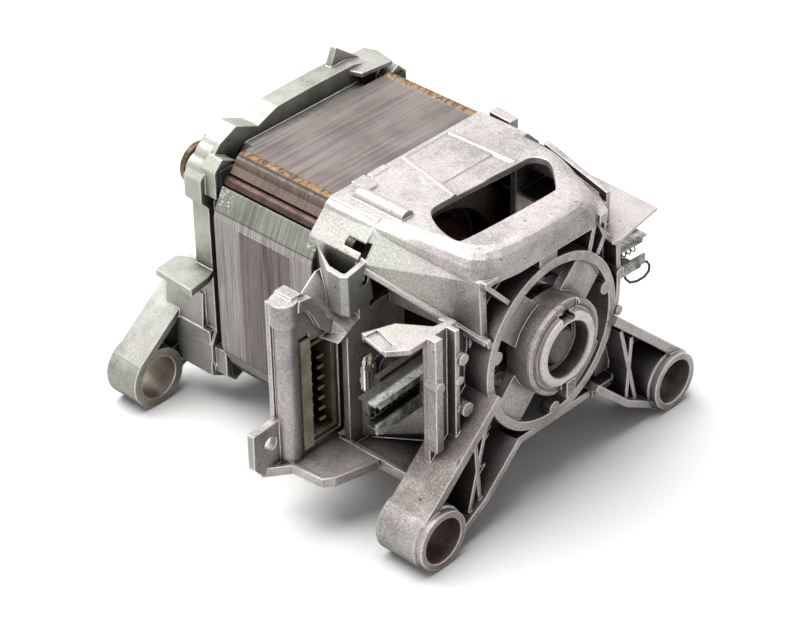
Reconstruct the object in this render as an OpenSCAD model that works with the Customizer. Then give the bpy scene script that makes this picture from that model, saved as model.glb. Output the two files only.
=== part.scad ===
// Brushed drive motor of a washing machine, seen from its commutator end.
// Two cast brackets clamp a welded lamination stack, and their legs carry it at four eyes.
// Inside the modules, y is the depth behind the face of the front ring, x is to the right
// as seen from the front and z is up, all from the shaft axis. place() then moves the
// depths so that the origin lies on the shaft axis at the middle of the belt track.

/* [Lamination stack] */
// Height of the stack over its top and bottom flats
stack_w = 107.4; // [104:0.2:112]
// How far each side flank stands out past the height's half
side_out = 4.7; // [3:0.1:6]
// Length of the stack
stack_len = 54.5; // [45:0.5:70]
// Leg of the corner chamfer
stack_chamfer = 11.2; // [9:0.2:13]
// Radial air gap around the armature
air_gap = 0.6; // [0.4:0.05:1]
// Depth of the stack's front face behind the ring face
stack_depth = 73; // [70:0.5:78]
// Radius of the weld bead along each corner edge
bead_r = 4.6; // [3.8:0.1:5]

/* [Through bolts] */
// Diameter of the bolts
bolt_d = 5; // [4:0.1:5.4]
// Distance from the side flank to the bolt axis
bolt_in_x = 4.1; // [3.9:0.1:4.6]
// Distance from the top flank to the bolt axis
bolt_in_z = 9.6; // [9:0.1:10.4]
// Diameter of the bolt heads
bolt_head_d = 6.6; // [6:0.2:8]

/* [Front ring and hub] */
// Outer diameter of the ring
ring_d = 76; // [72:0.5:80]
// Wall of the ring
ring_wall = 3.8; // [3:0.1:5]
// Depth of the ring
ring_len = 14; // [10:0.5:18]
// Width of each spoke
spoke_w = 19; // [12:0.5:22]
// Thickness of each spoke
spoke_t = 4; // [3:0.2:6]
// Outer diameter of the hub
hub_d = 41.6; // [38:0.2:46]
// How far the hub stands out of the ring face
hub_proud = 6.5; // [3:0.5:10]
// Outer diameter of the raised collar on the hub
collar_d = 32.2; // [29:0.2:36]
// Bore of the raised collar
collar_bore = 24.2; // [23.4:0.2:27]

/* [Feet] */
// Distance between the left and right eyes
foot_span = 141; // [136:1:150]
// Height of the shaft axis above the eyes' axis
foot_drop = 53.9; // [50:0.1:60]
// Bore of the front eyes
eye_bore = 20; // [14:0.5:22]
// Bore of the rear eyes
rear_eye_bore = 19; // [14:0.5:21]
// Outer diameter of the eyes
eye_d = 27; // [25:0.5:30]
// Length of the front eyes
front_eye_len = 23.2; // [18:0.2:30]
// Length of the rear eyes
rear_eye_len = 17.2; // [12:0.2:24]
// Wall thickness of the legs
leg_wall = 3; // [2.4:0.1:4]

/* [Hood] */
// Wall thickness of the castings
cast_wall = 3; // [2.4:0.1:4]
// Height of the hood above the stack's top flank
hood_rise = 1.3; // [0.8:0.1:3]
// Width of the vent slot
slot_w = 24; // [14:1:26]
// Length of the vent slot
slot_len = 62; // [40:1:66]

/* [Connector] */
// Width of the connector frame
frame_w = 26.5; // [25:0.5:32]
// Number of contacts in the row
contact_count = 7; // [4:1:8]
// Pitch of the contacts
contact_pitch = 5; // [3.5:0.1:5.4]
// Hole in the ear of the connector frame
ear_hole_d = 6.5; // [4:0.1:8]

/* [Rotor] */
// Diameter of the armature core
core_d = 58.4; // [56:0.2:59]
// Number of armature slots and commutator bars
slot_count = 24; // [12:2:32]
// Diameter of the commutator
comm_d = 39; // [34:0.5:42]
// Length of the commutator
comm_len = 18; // [16:0.5:22]
// Shaft diameter in the front bearing
front_shaft_d = 8; // [6:0.5:9]
// Shaft diameter in the rear bearing and the pulley
rear_shaft_d = 12; // [10:0.5:13]

/* [Bearings] */
// Outer diameter of the front bearing
front_race_d = 22; // [20:0.5:23]
// Width of the front bearing
front_race_w = 7; // [6:0.5:9]
// Outer diameter of the rear bearing
rear_race_d = 32; // [30:0.5:36]
// Width of the rear bearing
rear_race_w = 10; // [8:0.5:12]

/* [Drive pulley] */
// Diameter over the ribs
pulley_d = 19.6; // [18:0.2:24]
// Length of the pulley
pulley_len = 19; // [14:0.5:24]
// Number of belt ribs
rib_count = 6; // [3:1:9]
// Pitch of the belt ribs
rib_pitch = 2.34; // [1.6:0.02:2.6]
// Distance from the stack's rear face to the middle of the belt track
belt_reach = 65; // [62:0.5:75]

/* [Brushes] */
// Droop of each brush axis towards its outer end
brush_tilt = 3; // [0:0.5:6]
// Depth of the brush axis behind the ring face
brush_depth = 24; // [22:0.5:25]
// Width of a brush along the shaft
brush_w = 5; // [4:0.1:6.5]
// Height of a brush
brush_h = 12.5; // [8:0.1:13]
// Length of a brush
brush_len = 32; // [20:0.5:38]
// How far a brush can be pushed out of its seat on the commutator
brush_travel = 6; // [3:0.5:8]

/* [Clearances] */
// Radial clearance of fitted round parts
fit = 0.03; // [0.02:0.01:0.1]
// Clearance between parts that slide or are trapped
slip = 0.3; // [0.2:0.05:0.4]

/* [Hidden] */
$fn = 64;

cast = [0.72, 0.71, 0.69];
steel = [0.55, 0.56, 0.58];
copper = [0.75, 0.45, 0.25];
black = [0.12, 0.12, 0.13];

// Sizes that follow from the driving ones
half = stack_w / 2;
stack_end = stack_depth + stack_len;
belt_y = stack_end + belt_reach;
bolt_x = half - bolt_in_x;
bolt_z = half - bolt_in_z;
stack_bore = core_d + 2 * air_gap;
ring_r = ring_d / 2;
ring_in = ring_r - ring_wall;
eye_x = foot_span / 2;
eye_z = -foot_drop;
eye_r = eye_d / 2;
front_eye_y = -6.5;
rear_gap = 7.5;
rear_rim = stack_end + rear_gap;
rear_wall_depth = 9.5;
rear_plate = rear_rim + rear_wall_depth;
rear_eye_y = stack_end + 27.1;
conn_x = -half - 3.8;

// Front collar, which the stack's front end sits in
lip = 1.3;
collar_half = half + lip;
collar_chamfer = stack_chamfer + 2 * lip - 1.8;
lip_len = 4;
collar_y = stack_depth - 22;
seat_wall = 4.7;

// Hood levels
hood_z = half + hood_rise;
flange_z = hood_z - 9;
terrace_z = flange_z - 4;

// Legs and the plane of the bearing
web_y = 12.5;
spoke_y = 2;
front_race_y = 1;
rear_race_y = stack_end + 31;
race_lip = 2;

// Rotor stations
comm_y = 12;
comm_end = comm_y + comm_len;
winding_reach = 14;
spider_t = 1.5;

// Brush gear
brush_tip = comm_d / 2 + slip;
brush_end = brush_tip + brush_len;
sheath_wall = 1;
sheath_in = 30;
window_in = 54;
sheath_out = 80;
carrier_y = brush_depth + brush_w / 2 + sheath_wall + slip / 2;
carrier_t = 3;
bay_floor = -42;

module place() translate([0, -belt_y, 0]) children();

// A profile drawn in x and z, standing between two depths
module slab_y(y0, y1) {
    translate([0, y1, 0]) rotate([90, 0, 0]) linear_extrude(y1 - y0) children();
}

// A plan drawn in x and y, standing between two heights
module slab_z(z0, z1) {
    translate([0, 0, z0]) linear_extrude(z1 - z0) children();
}

// A profile drawn in y and z, standing between two x values
module slab_x(x0, x1) {
    translate([x0, 0, 0]) rotate([90, 0, 90]) linear_extrude(x1 - x0) children();
}

module rod_y(x, z, r, y0, y1) {
    translate([x, y1, z]) rotate([90, 0, 0]) cylinder(h = y1 - y0, r = r);
}

// A round profile in radius and depth, turned about the shaft axis
module turned() rotate([-90, 0, 0]) rotate_extrude() children();

module tube_y(ro, ri, y0, y1) turned() translate([ri, y0]) square([ro - ri, y1 - y0]);

// A wall of thickness t along a path, with mitred corners and square ends
function heading(path, i) = (path[i + 1] - path[i]) / norm(path[i + 1] - path[i]);
function mitre(path, i) = let (a = heading(path, max(i - 1, 0)),
    b = heading(path, min(i, len(path) - 2)), n = [-a.y - b.y, a.x + b.x] / 2) n / (n * n);
module stroke(path, t) polygon(concat(
    [for (i = [0 : len(path) - 1]) path[i] - mitre(path, i) * t / 2],
    [for (i = [len(path) - 1 : -1 : 0]) path[i] + mitre(path, i) * t / 2]));

function octagon(h, c) = [[-h, c - h], [c - h, -h], [h - c, -h], [h, c - h],
    [h, h - c], [h - c, h], [c - h, h], [-h, h - c]];

// A wall between two profiles of as many points, both drawn counterclockwise in x and z
module loft_y(pa, ya, pb, yb) {
    n = len(pa);
    points = concat([for (p = pa) [p.x, ya, p.y]], [for (p = pb) [p.x, yb, p.y]]);
    sides = [for (i = [0 : n - 1]) let (j = (i + 1) % n)
        each [[i, n + j, n + i], [i, j, n + j]]];
    ends = [[for (i = [n - 1 : -1 : 0]) i], [for (i = [0 : n - 1]) n + i]];
    polyhedron(points, concat(sides, ends));
}

// A wall between two plans, both drawn counterclockwise in x and y, the first one lower
module loft_z(pa, za, pb, zb) {
    n = len(pa);
    points = concat([for (p = pa) [p.x, p.y, za]], [for (p = pb) [p.x, p.y, zb]]);
    sides = [for (i = [0 : n - 1]) let (j = (i + 1) % n)
        each [[i, n + j, j], [i, n + i, n + j]]];
    ends = [[for (i = [0 : n - 1]) i], [for (i = [n - 1 : -1 : 0]) n + i]];
    polyhedron(points, concat(sides, ends));
}

// A tube swept along points, with parallel frames so that it doesn't twist
function unit(v) = v / norm(v);
function tangent(p, i) = unit(p[min(i + 1, len(p) - 1)] - p[max(i - 1, 0)]);
function carry(v, t) = unit(v - (v * t) * t);
function frames(p, i, v) = i == len(p) ? [] :
    let (n = carry(v, tangent(p, i))) concat([n], frames(p, i + 1, n));
module swept(p, r, sides) {
    start = carry(abs(tangent(p, 0).z) < 0.9 ? [0, 0, 1] : [1, 0, 0], tangent(p, 0));
    normals = frames(p, 0, start);
    points = [for (i = [0 : len(p) - 1]) let (t = tangent(p, i), b = cross(t, normals[i]))
        for (k = [0 : sides - 1]) p[i] + r * (cos(360 * k / sides) * normals[i]
            + sin(360 * k / sides) * b)];
    last = (len(p) - 1) * sides;
    skin = [for (i = [0 : len(p) - 2], k = [0 : sides - 1])
        let (a = i * sides + k, b = i * sides + (k + 1) % sides)
        each [[a, a + sides, b + sides], [a, b + sides, b]]];
    caps = [[for (k = [0 : sides - 1]) k], [for (k = [sides - 1 : -1 : 0]) last + k]];
    polyhedron(points, concat(skin, caps));
}

// Stator

coil_in = stack_bore / 2 + 3.2;
coil_out = half - 9.2;
module coil_window() {
    a = coil_in - 6;
    b = coil_in + 3;
    c = coil_out - 0.5;
    d = coil_out + 2.5;
    polygon([[a, -8], [b, -24], [c, -24], [d, -18], [d, 18], [c, 24], [b, 24], [a, 8]]);
}

// Outline of a lamination: flat top and bottom, wider side flanks with a folded shoulder
function corner_line(g) = [[half + side_out + g, half - 22.3], [half + side_out - 0.9 + g, half - 19.2],
    [half - 0.5 + g, half - 11.2 + g], [half - stack_chamfer + g, half + g]];
function turned_back(p, sx, sz) = [for (i = [len(p) - 1 : -1 : 0]) [sx * p[i].x, sz * p[i].y]];
function stack_outline(g) = concat(corner_line(g), turned_back(corner_line(g), -1, 1),
    [for (q = corner_line(g)) [-q.x, -q.y]], turned_back(corner_line(g), 1, -1));

module bolt_places() {
    for (sx = [-1, 1], sz = [-1, 1]) translate([sx * bolt_x, 0, sz * bolt_z]) children();
}

module stator_core() color([0.6, 0.57, 0.56]) place() difference() {
    union() {
        slab_y(stack_depth, stack_end) polygon(stack_outline(0));
        for (sx = [-1, 1], sz = [-1, 1])
            rod_y(sx * (half - stack_chamfer - 1), sz * (half + 0.6 - bead_r), bead_r,
                stack_depth + lip_len + slip, stack_end - 0.5);
    }
    rod_y(0, 0, stack_bore / 2, stack_depth - 1, stack_end + 1);
    slab_y(stack_depth - 1, stack_end + 1) coil_window();
    slab_y(stack_depth - 1, stack_end + 1) mirror([1, 0]) coil_window();
    for (sx = [-1, 1], sz = [-1, 1]) slab_y(stack_depth - 1, stack_end + 1)
        translate([sx * bolt_x, sz * bolt_z]) rotate(sx * sz > 0 ? 45 : -45)
            translate([sx > 0 ? 0 : -8, 0]) bolt_groove(sx);
}

module bolt_groove(sx) {
    w = bolt_d + 0.8;
    translate([0, -w / 2]) square([8, w]);
    translate([sx > 0 ? 0 : 8, 0]) circle(d = w);
}

module through_bolts() color([0.25, 0.17, 0.14]) place() bolt_places() {
    rod_y(0, 0, bolt_d / 2, stack_depth - 13, rear_rim + 8.4);
    difference() {
        rod_y(0, 0, bolt_head_d / 2, stack_depth - 17, stack_depth - 13);
        slab_y(stack_depth - 18, stack_depth - 15) circle(d = 3.6, $fn = 6);
    }
}

module corner_spacers() color(black) place() bolt_places() difference() {
    slab_y(stack_end, stack_end + pad_t) square([7.4, 11], center = true);
    rod_y(0, 0, bolt_d / 2 + fit, stack_end - 1, rear_rim + 1);
}

// One field coil: two sides through the windows and an arched end turn beyond each face
coil_end_reach = 13;
module field_coil() {
    for (sx = [-1, 1]) slab_y(stack_depth - coil_end_reach, stack_end + coil_end_reach)
        polygon([[sx * coil_in, 2.5], [sx * coil_out, 2.5], [sx * coil_out, 17],
            [sx * (coil_out - 2.5), 21.5], [sx * (coil_in + 4), 21.5], [sx * coil_in, 12]]);
    for (y = [stack_depth - coil_end_reach, stack_end + 1.8])
        slab_y(y, y + coil_end_reach - 1.8) intersection() {
            difference() {
                circle(r = coil_out);
                circle(r = coil_in);
            }
            translate([-60, 2.5]) square([120, 60]);
        }
}
module field_coil_upper() color(copper) place() field_coil();
module field_coil_lower() color(copper) place() mirror([0, 0, 1]) field_coil();

// The plates that keep the end turns off the laminations
module coil_insulator(y) slab_y(y, y + 1.5) difference() {
    circle(r = coil_out + 2);
    circle(r = coil_in - 1);
    for (sx = [-1, 1]) translate([sx * (coil_in + coil_out) / 2, 0])
        square([coil_out - coil_in + 1, 44.5], center = true);
}
module coil_insulator_front() color("white") place() coil_insulator(stack_depth - 1.65);
module coil_insulator_rear() color("white") place() coil_insulator(stack_end + 0.15);

// Front bracket

// The hood: outline of its level top, and of the edge that its slope runs down to
function softened(p) = concat([p[0]], [for (i = [1 : len(p) - 2])
    each [0.75 * p[i] + 0.25 * p[i - 1], 0.75 * p[i] + 0.25 * p[i + 1]]], [p[len(p) - 1]]);
hood_back = stack_depth + lip_len;
hood_top = softened(softened([[-38, hood_back, hood_z], [-38, 50, hood_z], [-35, 20, hood_z],
    [-29, 6, hood_z], [6, 1.5, hood_z], [17, 5, hood_z], [34, 24.6, hood_z],
    [39, 38.4, hood_z], [38, hood_back, hood_z]]));
hood_edge = softened(softened([[-46.4, hood_back, hood_z - 3], [-46.2, 50, hood_z - 3],
    [-42, 22, flange_z + 1.4], [-38.4, -1, flange_z - 0.6], [8, -1.4, flange_z - 0.4],
    [29, -2, flange_z], [43, 31, flange_z], [44, 42, flange_z],
    [46, hood_back, flange_z]]));
shoulder_steps = 4;
hood_mid = [0, 38, 0];

// The space under a rounded shoulder from the edge to the top, drawn in by a share and dropped
module hood_body(share, drop) {
    n = len(hood_top);
    levels = concat([[for (q = hood_edge) [q.x, q.y, flange_z - 3]]],
        [for (k = [0 : shoulder_steps]) let (t = 90 * k / shoulder_steps) [for (i = [0 : n - 1])
            let (e = hood_edge[i], h = hood_top[i], a = 1 - cos(t), b = sin(t))
                [e.x + (h.x - e.x) * a, e.y + (h.y - e.y) * a, e.z + (h.z - e.z) * b]]]);
    points = [for (level = levels, q = level) [share * (q.x - hood_mid.x) + hood_mid.x,
        share * (q.y - hood_mid.y) + hood_mid.y, q.z - drop]];
    sides = [for (k = [0 : shoulder_steps], i = [0 : n - 1]) let (j = (i + 1) % n, a = k * n)
        each [[a + i, a + n + j, a + j], [a + i, a + n + i, a + n + j]]];
    top = (shoulder_steps + 1) * n;
    ends = [[for (i = [0 : n - 1]) i], [for (i = [n - 1 : -1 : 0]) top + i]];
    polyhedron(points, concat(sides, ends));
}
panel = [[-10, 39.6], [22, 41], [21, stack_depth + 1], [-2, stack_depth + 1]];
module hood() difference() {
    union() {
        hood_body(1, 0);
        // ribs beside the panel behind the slot
        slab_z(hood_z - 1, hood_z + 0.5) {
            stroke([panel[0] - [1.4, 0.4], panel[3] - [1.4, -1.4], panel[2] + [1.4, 1.4],
                panel[1] + [1.4, -0.4]], 1.6);
        }
    }
    hood_body(0.925, cast_wall);
    slab_z(hood_z - 12, hood_z + 1) vent_slot();
    slab_z(hood_z - 0.6, hood_z + 1) polygon(panel);
}

// Round at the left end, drawn in at the right end
slot_x = -33.2;
slot_y = 15;
function ring_softened(p) = [for (i = [0 : len(p) - 1]) let (q = p[(i + 1) % len(p)])
    each [0.75 * p[i] + 0.25 * q, 0.25 * p[i] + 0.75 * q]];
module vent_slot() {
    e = slot_x + slot_len;
    w = slot_y + slot_w;
    polygon(ring_softened(ring_softened([[slot_x - 1.2, slot_y + 4.6], [slot_x + 1, slot_y + 1.8],
        [e - 12, slot_y - 0.6], [e - 9, slot_y + 0.8], [e + 3, slot_y + 13.6], [e + 4, slot_y + 18.6],
        [e + 1.6, slot_y + 23.4], [e - 5, w - 0.2], [slot_x + 13, w + 3.2], [slot_x + 7, w + 1.6],
        [slot_x + 0.8, slot_y + 15]])));
}

// Terraces along the hood's right edge
module hood_terraces() {
    slab_z(flange_z - 4, flange_z) difference() {
        polygon([[26, -1], [30, -1], [38.6, 19.5], [50.2, 45.6], [52, stack_depth],
            [45, stack_depth], [40, 34]]);
        polygon([[22, 5], [38, 34], [40, 42], [42, stack_depth - 2], [30, stack_depth - 2], [20, 30]]);
    }
    slab_z(terrace_z - 3, terrace_z) difference() {
        polygon([[28, -2], [36.5, 3.8], [49, 23.1], [54, 46], [54, stack_depth - 1],
            [48, stack_depth - 1], [38, 30]]);
        polygon([[26, 6], [43, 34], [44, stack_depth - 3], [30, stack_depth - 3]]);
    }
}

// Locating bar and steps on the hood
module hood_lugs() {
    difference() {
        rod_y(-34.4, hood_z - 0.6, 3.6, stack_depth - 29, stack_depth - 3.4);
        slab_y(stack_depth - 30, stack_depth) translate([-60, hood_z - 20]) square([40, 17]);
    }
    slab_z(hood_z - 3, hood_z + 0.9) polygon([[-31, hood_back - 9], [-26, hood_back - 9],
        [-24, hood_back], [-31, hood_back]]);
    slab_z(hood_z - 2, hood_z + 0.5) polygon([[-22, hood_back - 3], [-13, hood_back - 3],
        [-13, hood_back], [-22, hood_back]]);
    slab_z(flange_z - 6, hood_z - 2) polygon([[47, hood_back - 13], [52, hood_back - 13],
        [53, hood_back - 1], [48, hood_back - 1]]);
}

// Eight-sided collar with the lip that centres the stack
module collar() difference() {
    slab_y(collar_y, stack_depth + lip_len) polygon(octagon(collar_half, collar_chamfer));
    slab_y(collar_y - 1, stack_depth + 1)
        polygon(octagon(half - seat_wall, collar_chamfer + 1));
}

// Pads inside the collar that the bolt heads pull on
module bolt_pads() for (sx = [-1, 1], sz = [-1, 1]) slab_y(stack_depth - 13, stack_depth)
    polygon([[sx * (half - 12), sz * (half - 3)], [sx * (half - 3), sz * (half - 14)],
        [sx * (half - 8), sz * (half - 16)], [sx * (half - 14), sz * (half - 9)]]);

// The wall that runs in from the collar's upper chamfer to the ring
chamfer_rear = [[-half - 1.3, half - 13], [-half + 1.3, half - 14.5], [-half + 10, half - 4],
    [-half + 7.7, half - 1.7]];
chamfer_front = [[-36.8, 17], [-33.5, 17], [-34.5, 43.5], [-38, 44.5]];
module chamfer_wall() {
    loft_y(chamfer_front, 4, chamfer_rear, collar_y + 1);
    loft_y([[-37.6, 16.2], [-34.6, 16.2], [-34.6, 18.4], [-37.6, 18.4]], 2,
        [[-half - 2.2, half - 14.6], [-half + 0.4, half - 15.2], [-half + 1.6, half - 13.2],
            [-half - 1.6, half - 12.4]], collar_y + 1);
}

// The face frame around the ring: perimeter wall, ribs and the plate behind them
frame_path = [[-37.7, 44], [26.4, 44.6], [31.7, 34.1], [40, 25.5], [41, 8], [40.4, -2], [36.6, -10]];
module front_face() {
    slab_y(web_y - 2, web_y + 1) difference() {
        polygon([[-37.5, 44], [26, 44.5], [31.5, 34], [39.8, 25.5], [40.8, 0], [37, -12],
            [25, -38], [-25, -38], [-36, -12], [-36.5, 18]]);
        circle(r = ring_in + 1);
    }
    slab_y(0.8, web_y) intersection() {
        stroke(frame_path, 2.2);
        translate([-39, -20]) square([90, flange_z + 20]);
    }
    slab_y(0.8, web_y) {
        stroke([[-37, 43.4], [-24.6, 30.2]], 1.8);
        stroke([[-7, ring_r + 1.6], [3, ring_r + 1.6]], 5);
        stroke([[26, 44], [22.3, 30]], 2);
        stroke([[31.7, 34.1], [27.4, 26.8]], 2);
        stroke([[-36.4, 18.5], [-35, 15]], 2.4);
    }
    rod_y(40.2, 12.6, 2.1, -0.6, web_y);
    rod_y(40, -5.5, 2.1, -0.6, web_y);
}

lobe_angles = [16, 165, -86.5];
module ring() {
    tube_y(ring_r, ring_in, 0, ring_len);
    for (a = lobe_angles) rod_y((ring_in - 1) * cos(a), (ring_in - 1) * sin(a), 2.8, 0, 4);
}

module spokes() for (a = [45 : 90 : 315])
    slab_y(spoke_y, spoke_y + spoke_t) rotate(a) translate([hub_d / 2 - 2, -spoke_w / 2])
        square([ring_in - hub_d / 2 + 3, spoke_w]);

module front_hub() {
    seat = front_race_d / 2 + fit;
    face = -hub_proud;
    difference() {
        turned() polygon([[seat - race_lip, front_race_y + front_race_w + 2],
            [seat - race_lip, front_race_y + front_race_w], [seat, front_race_y + front_race_w],
            [seat, -0.6], [collar_bore / 2, -1.2], [collar_bore / 2, face - 1.4],
            [collar_bore / 2 + 0.5, face - 1.9], [collar_d / 2 - 1, face - 1.9],
            [collar_d / 2, face - 1.2], [collar_d / 2, face + 0.3], [collar_d / 2 + 1.2, face + 1],
            [collar_d / 2 + 2.4, face + 0.3], [collar_d / 2 + 2.8, face], [hub_d / 2 - 1.6, face],
            [hub_d / 2 - 0.4, face + 0.5], [hub_d / 2, face + 1.8], [hub_d / 2, hub_back],
            [hub_d / 2 - 4, hub_back + 2], [hub_d / 2 - 4.6, front_race_y + front_race_w + 2]]);
        // bayonet notch at the top, and the gap at the bottom
        slab_y(face - 3, face + 4) translate([-3.6, collar_bore / 2 + 0.8]) square([7.2, 3.4]);
        slab_y(face - 3, face + 1.4) translate([-1.2, collar_bore / 2 + 3]) square([9, 6.5]);
        slab_y(face - 3, face + 1.6) translate([-5.2, -hub_d / 2 - 1]) square([9.6, 7.2]);
    }
    slab_y(face - 1.4, face + 3) difference() {
        translate([2.4, -hub_d / 2 + 1]) square([5, 7.6], center = true);
        circle(r = collar_d / 2 - 0.6);
    }
}
hub_back = 5.5;

// Legs: two walls, a web behind them and an eye, with a crossing rib in the pocket
leg_up = [[34.5, -6.5], [60.5, -29.8], [eye_x + 7.2, eye_z + 8.6]];
leg_low = [[23.5, -33.5], [43, -51.6], [eye_x - 14, eye_z - 5.4], [eye_x - 5, eye_z - eye_r + 2]];
module front_leg() difference() {
    union() {
        slab_y(-4, front_eye_y + front_eye_len - 1) {
            stroke(leg_up, leg_wall + 1);
            stroke(leg_low, leg_wall);
        }
        slab_y(-2, web_y) stroke([[40, -15], [50.5, -54]], 1.8);
        slab_y(-2, web_y) stroke([[47, -21.5], [44.5, -51]], 1.8);
        slab_y(web_y, front_eye_y + front_eye_len - 1)
            polygon([[30, -10], [34.5, -8], [60, -31], [eye_x + 6, eye_z + 8],
                [eye_x - 4, eye_z - eye_r + 3], [eye_x - 14, eye_z - 5.4], [43, -51.6], [22, -33]]);
        rod_y(eye_x, eye_z, eye_r - 0.8, front_eye_y, front_eye_y + 4);
        rod_y(eye_x, eye_z, eye_r, front_eye_y + 3.4, front_eye_y + front_eye_len);
    }
    rod_y(eye_x, eye_z, eye_bore / 2, front_eye_y - 1, front_eye_y + front_eye_len + 1);
}

// Tapered trough under the commutator, from the collar's lower half to the ring
function trough_profile(top, side, knee, wide, foot) =
    [[-side, top], [-side, knee], [-wide, foot], [wide, foot], [side, knee], [side, top]];
module trough() difference() {
    union() {
        loft_y(trough_profile(-18, 39, -27, 24.5, -40), web_y - 3,
            trough_profile(-21, half + 1.3, 13 - half, half - 13, -half - 1.3), collar_y + 1);
        slab_y(0.4, web_y) stroke([[-24, -38.2], [24, -38.2]], leg_wall);
    }
    loft_y(trough_profile(-15, 36, -25.6, 23.3, -37), web_y - 4,
        trough_profile(-17, half - 2, 14.3 - half, half - 14.3, 2 - half), collar_y + 2);
    // vents in the floor
    for (x = [-18, 0, 18]) slab_z(-80, -20) translate([x - 5, 22]) square([10, 26]);
}

// Brush bay: post with ribs and pegs, shelf over it, floor and rear wall
module bay_post() {
    slab_y(8, 11) polygon([[-62, 30], [-46.5, 30], [-46.5, -40], [-62, -40]]);
    slab_y(4, 9) translate([-62.3, -22]) square([3.8, 52]);
    slab_y(3.5, 9) translate([-52, -30]) square([2.2, 60]);
    rod_y(-61.5, 9, 2.4, 2.4, 9);
    rod_y(-49.2, 16.4, 2.4, 1.6, 9);
    rod_y(-47.6, -7.5, 2.9, 1.2, 9);
    rod_y(-49.6, 6.2, 1.8, 3, 9);
    slab_y(12, 15) polygon([[-49, 29], [-36, 18.5], [-35, -14], [-46.5, -40], [-49, -40]]);
    slab_x(-49, -46.5) polygon([[8, 30], [15, 29], [15, -40], [8, -40]]);
}

shelf_plan = [[-76, 29], [-79, 14], [-72, 8], [-50, 8], [-50, 11], [-55, 12], [-63, 24]];
module bay_shelf() {
    difference() {
        slab_z(27.6, 30) polygon(shelf_plan);
        slab_z(29, 31) polygon([[-80, 27], [-80, 16], [-77.4, 15], [-74, 15], [-70.6, 26]]);
    }
}

floor_plan = [[-62, 18], [-42, 4], [-30, 4], [-30, 58], [-60, 58], [-62, 36.8]];
module bay_floor_plate() {
    slab_z(bay_floor - cast_wall, bay_floor) polygon(floor_plan);
    slab_z(bay_floor - 1, bay_floor + 2) stroke([[-61.4, 57], [-61.4, 20], [-54.6, 16], [-42, 7]], 2);
}

saddle_front = [[-67, 10], [-half + 3.4, 10], [-half + 3.4, 17], [-57.5, 14.8], [-62, 12.4]];
saddle_rear = [[-71, 10], [-half + 3.4, 10], [-half + 3.4, 31.6], [-59.6, 31.4], [-67.4, 25.4]];
module bay_rear_wall() {
    slab_y(collar_y, collar_y + cast_wall) polygon([[-62, bay_floor], [-30, bay_floor], [-30, 16],
        [-35.7, 18.4], [-41, 19.2], [-46, 18.9], [-52.6, 16.1], [-58.8, 13.5], [-62, 12.4]]);
    // saddle that rises from the wall to the collar
    loft_y(saddle_front, collar_y, saddle_rear, stack_depth - 3);
    rod_y(-51, 5, 2.4, collar_y - 3, collar_y + 1);
}

// Pillars that the brush carriers are screwed to
module carrier_pillars() difference() {
    for (left = [true, false]) brush_side(left) for (x = screw_x)
        rod_y(x, screw_z, 3.2, carrier_y + carrier_t, collar_y + 1);
    for (left = [true, false]) brush_side(left) for (x = screw_x)
        rod_y(x, screw_z, screw_d / 2 + fit, carrier_y, carrier_y + carrier_t + 6.3);
}

// Inner wall of the bay under the chamfer wall, over the brush
module bay_inner_wall() slab_x(-38, -35.4)
    polygon([[9, 17], [collar_y + 1, 15], [collar_y + 1, 40], [30, 40], [9, 24]]);

// Connector frame, open towards the front
frame_y = stack_depth - 14;
frame_out = -frame_w;
frame_open = [[-17.9, -37], [-2.2, -37], [-2.2, 9], [-17.9, 12]];
frame_outline = [[frame_out, -40], [0, -40], [0, 11], [-4.5, 12.6], [-9.4, 17], [-11.4, 20.4],
    [-14.9, 27.7], [-17.5, 32.5], [-20.5, 35.3], [frame_out + 1, 35.3], [frame_out, 34]];
frame_len = 9;
frame_brow = [[-24, 31.6], [-18.6, 30.6], [-14.6, 25], [-11.4, 18.2], [-7, 14.2], [-1, 13.4]];
column_r = 4.6;
module connector_frame() translate([conn_x, 0, 0]) {
    difference() {
        union() {
            slab_y(frame_y, frame_y + frame_len) polygon(frame_outline);
            slab_y(frame_y + frame_len - 3, frame_y + frame_len - 1)
                translate([frame_out - 5.4, -38]) square([8, 72]);
            // round column along the outer edge, with its cap
            slab_z(-40, 30) translate([frame_out - 0.4, frame_y + 3]) circle(r = column_r);
            slab_z(24, 34.4) translate([frame_out - 0.4, frame_y + 3]) circle(r = column_r + 1);
            slab_y(frame_y - 2.4, frame_y + 1) stroke(frame_brow, 5);
        }
        slab_y(frame_y - 3, frame_y + frame_len + 1) polygon(frame_open);
        slab_y(frame_y - 3, frame_y + 3) polygon([[-22.9, -38], [-17.3, -38], [-17.3, 15], [-22.9, 15]]);
    }
}

// Walls that tie the connector frame to the collar
module frame_ties() translate([conn_x, 0, 0]) {
    slab_y(frame_y + 2, stack_depth - 1) {
        polygon([[-1, 12], [0.5, 10], [4.5, 12], [4.5, 15.5], [0, 19]]);
        polygon([[-2.5, -42], [7.5, -42], [7.5, -38.5], [-2.5, -38.5]]);
    }
    slab_y(frame_y + 3, frame_y + 6) polygon([[-1.5, -41], [5.5, -41], [5.5, 14], [-1.5, 14]]);
}

ear_x = -36.4;
ear_z = -29.1;
module ear() translate([conn_x, 0, 0]) difference() {
    slab_y(frame_y + 4, frame_y + 7.4) polygon([[-45.5, -37.4], [-41, -42.5], [-22.5, -42.5],
        [-22.5, -16], [-27, -17.5], [-31.5, -20.5], [-45.3, -21.3]]);
    rod_y(ear_x, ear_z, ear_hole_d / 2, frame_y, frame_y + 10);
}

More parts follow.
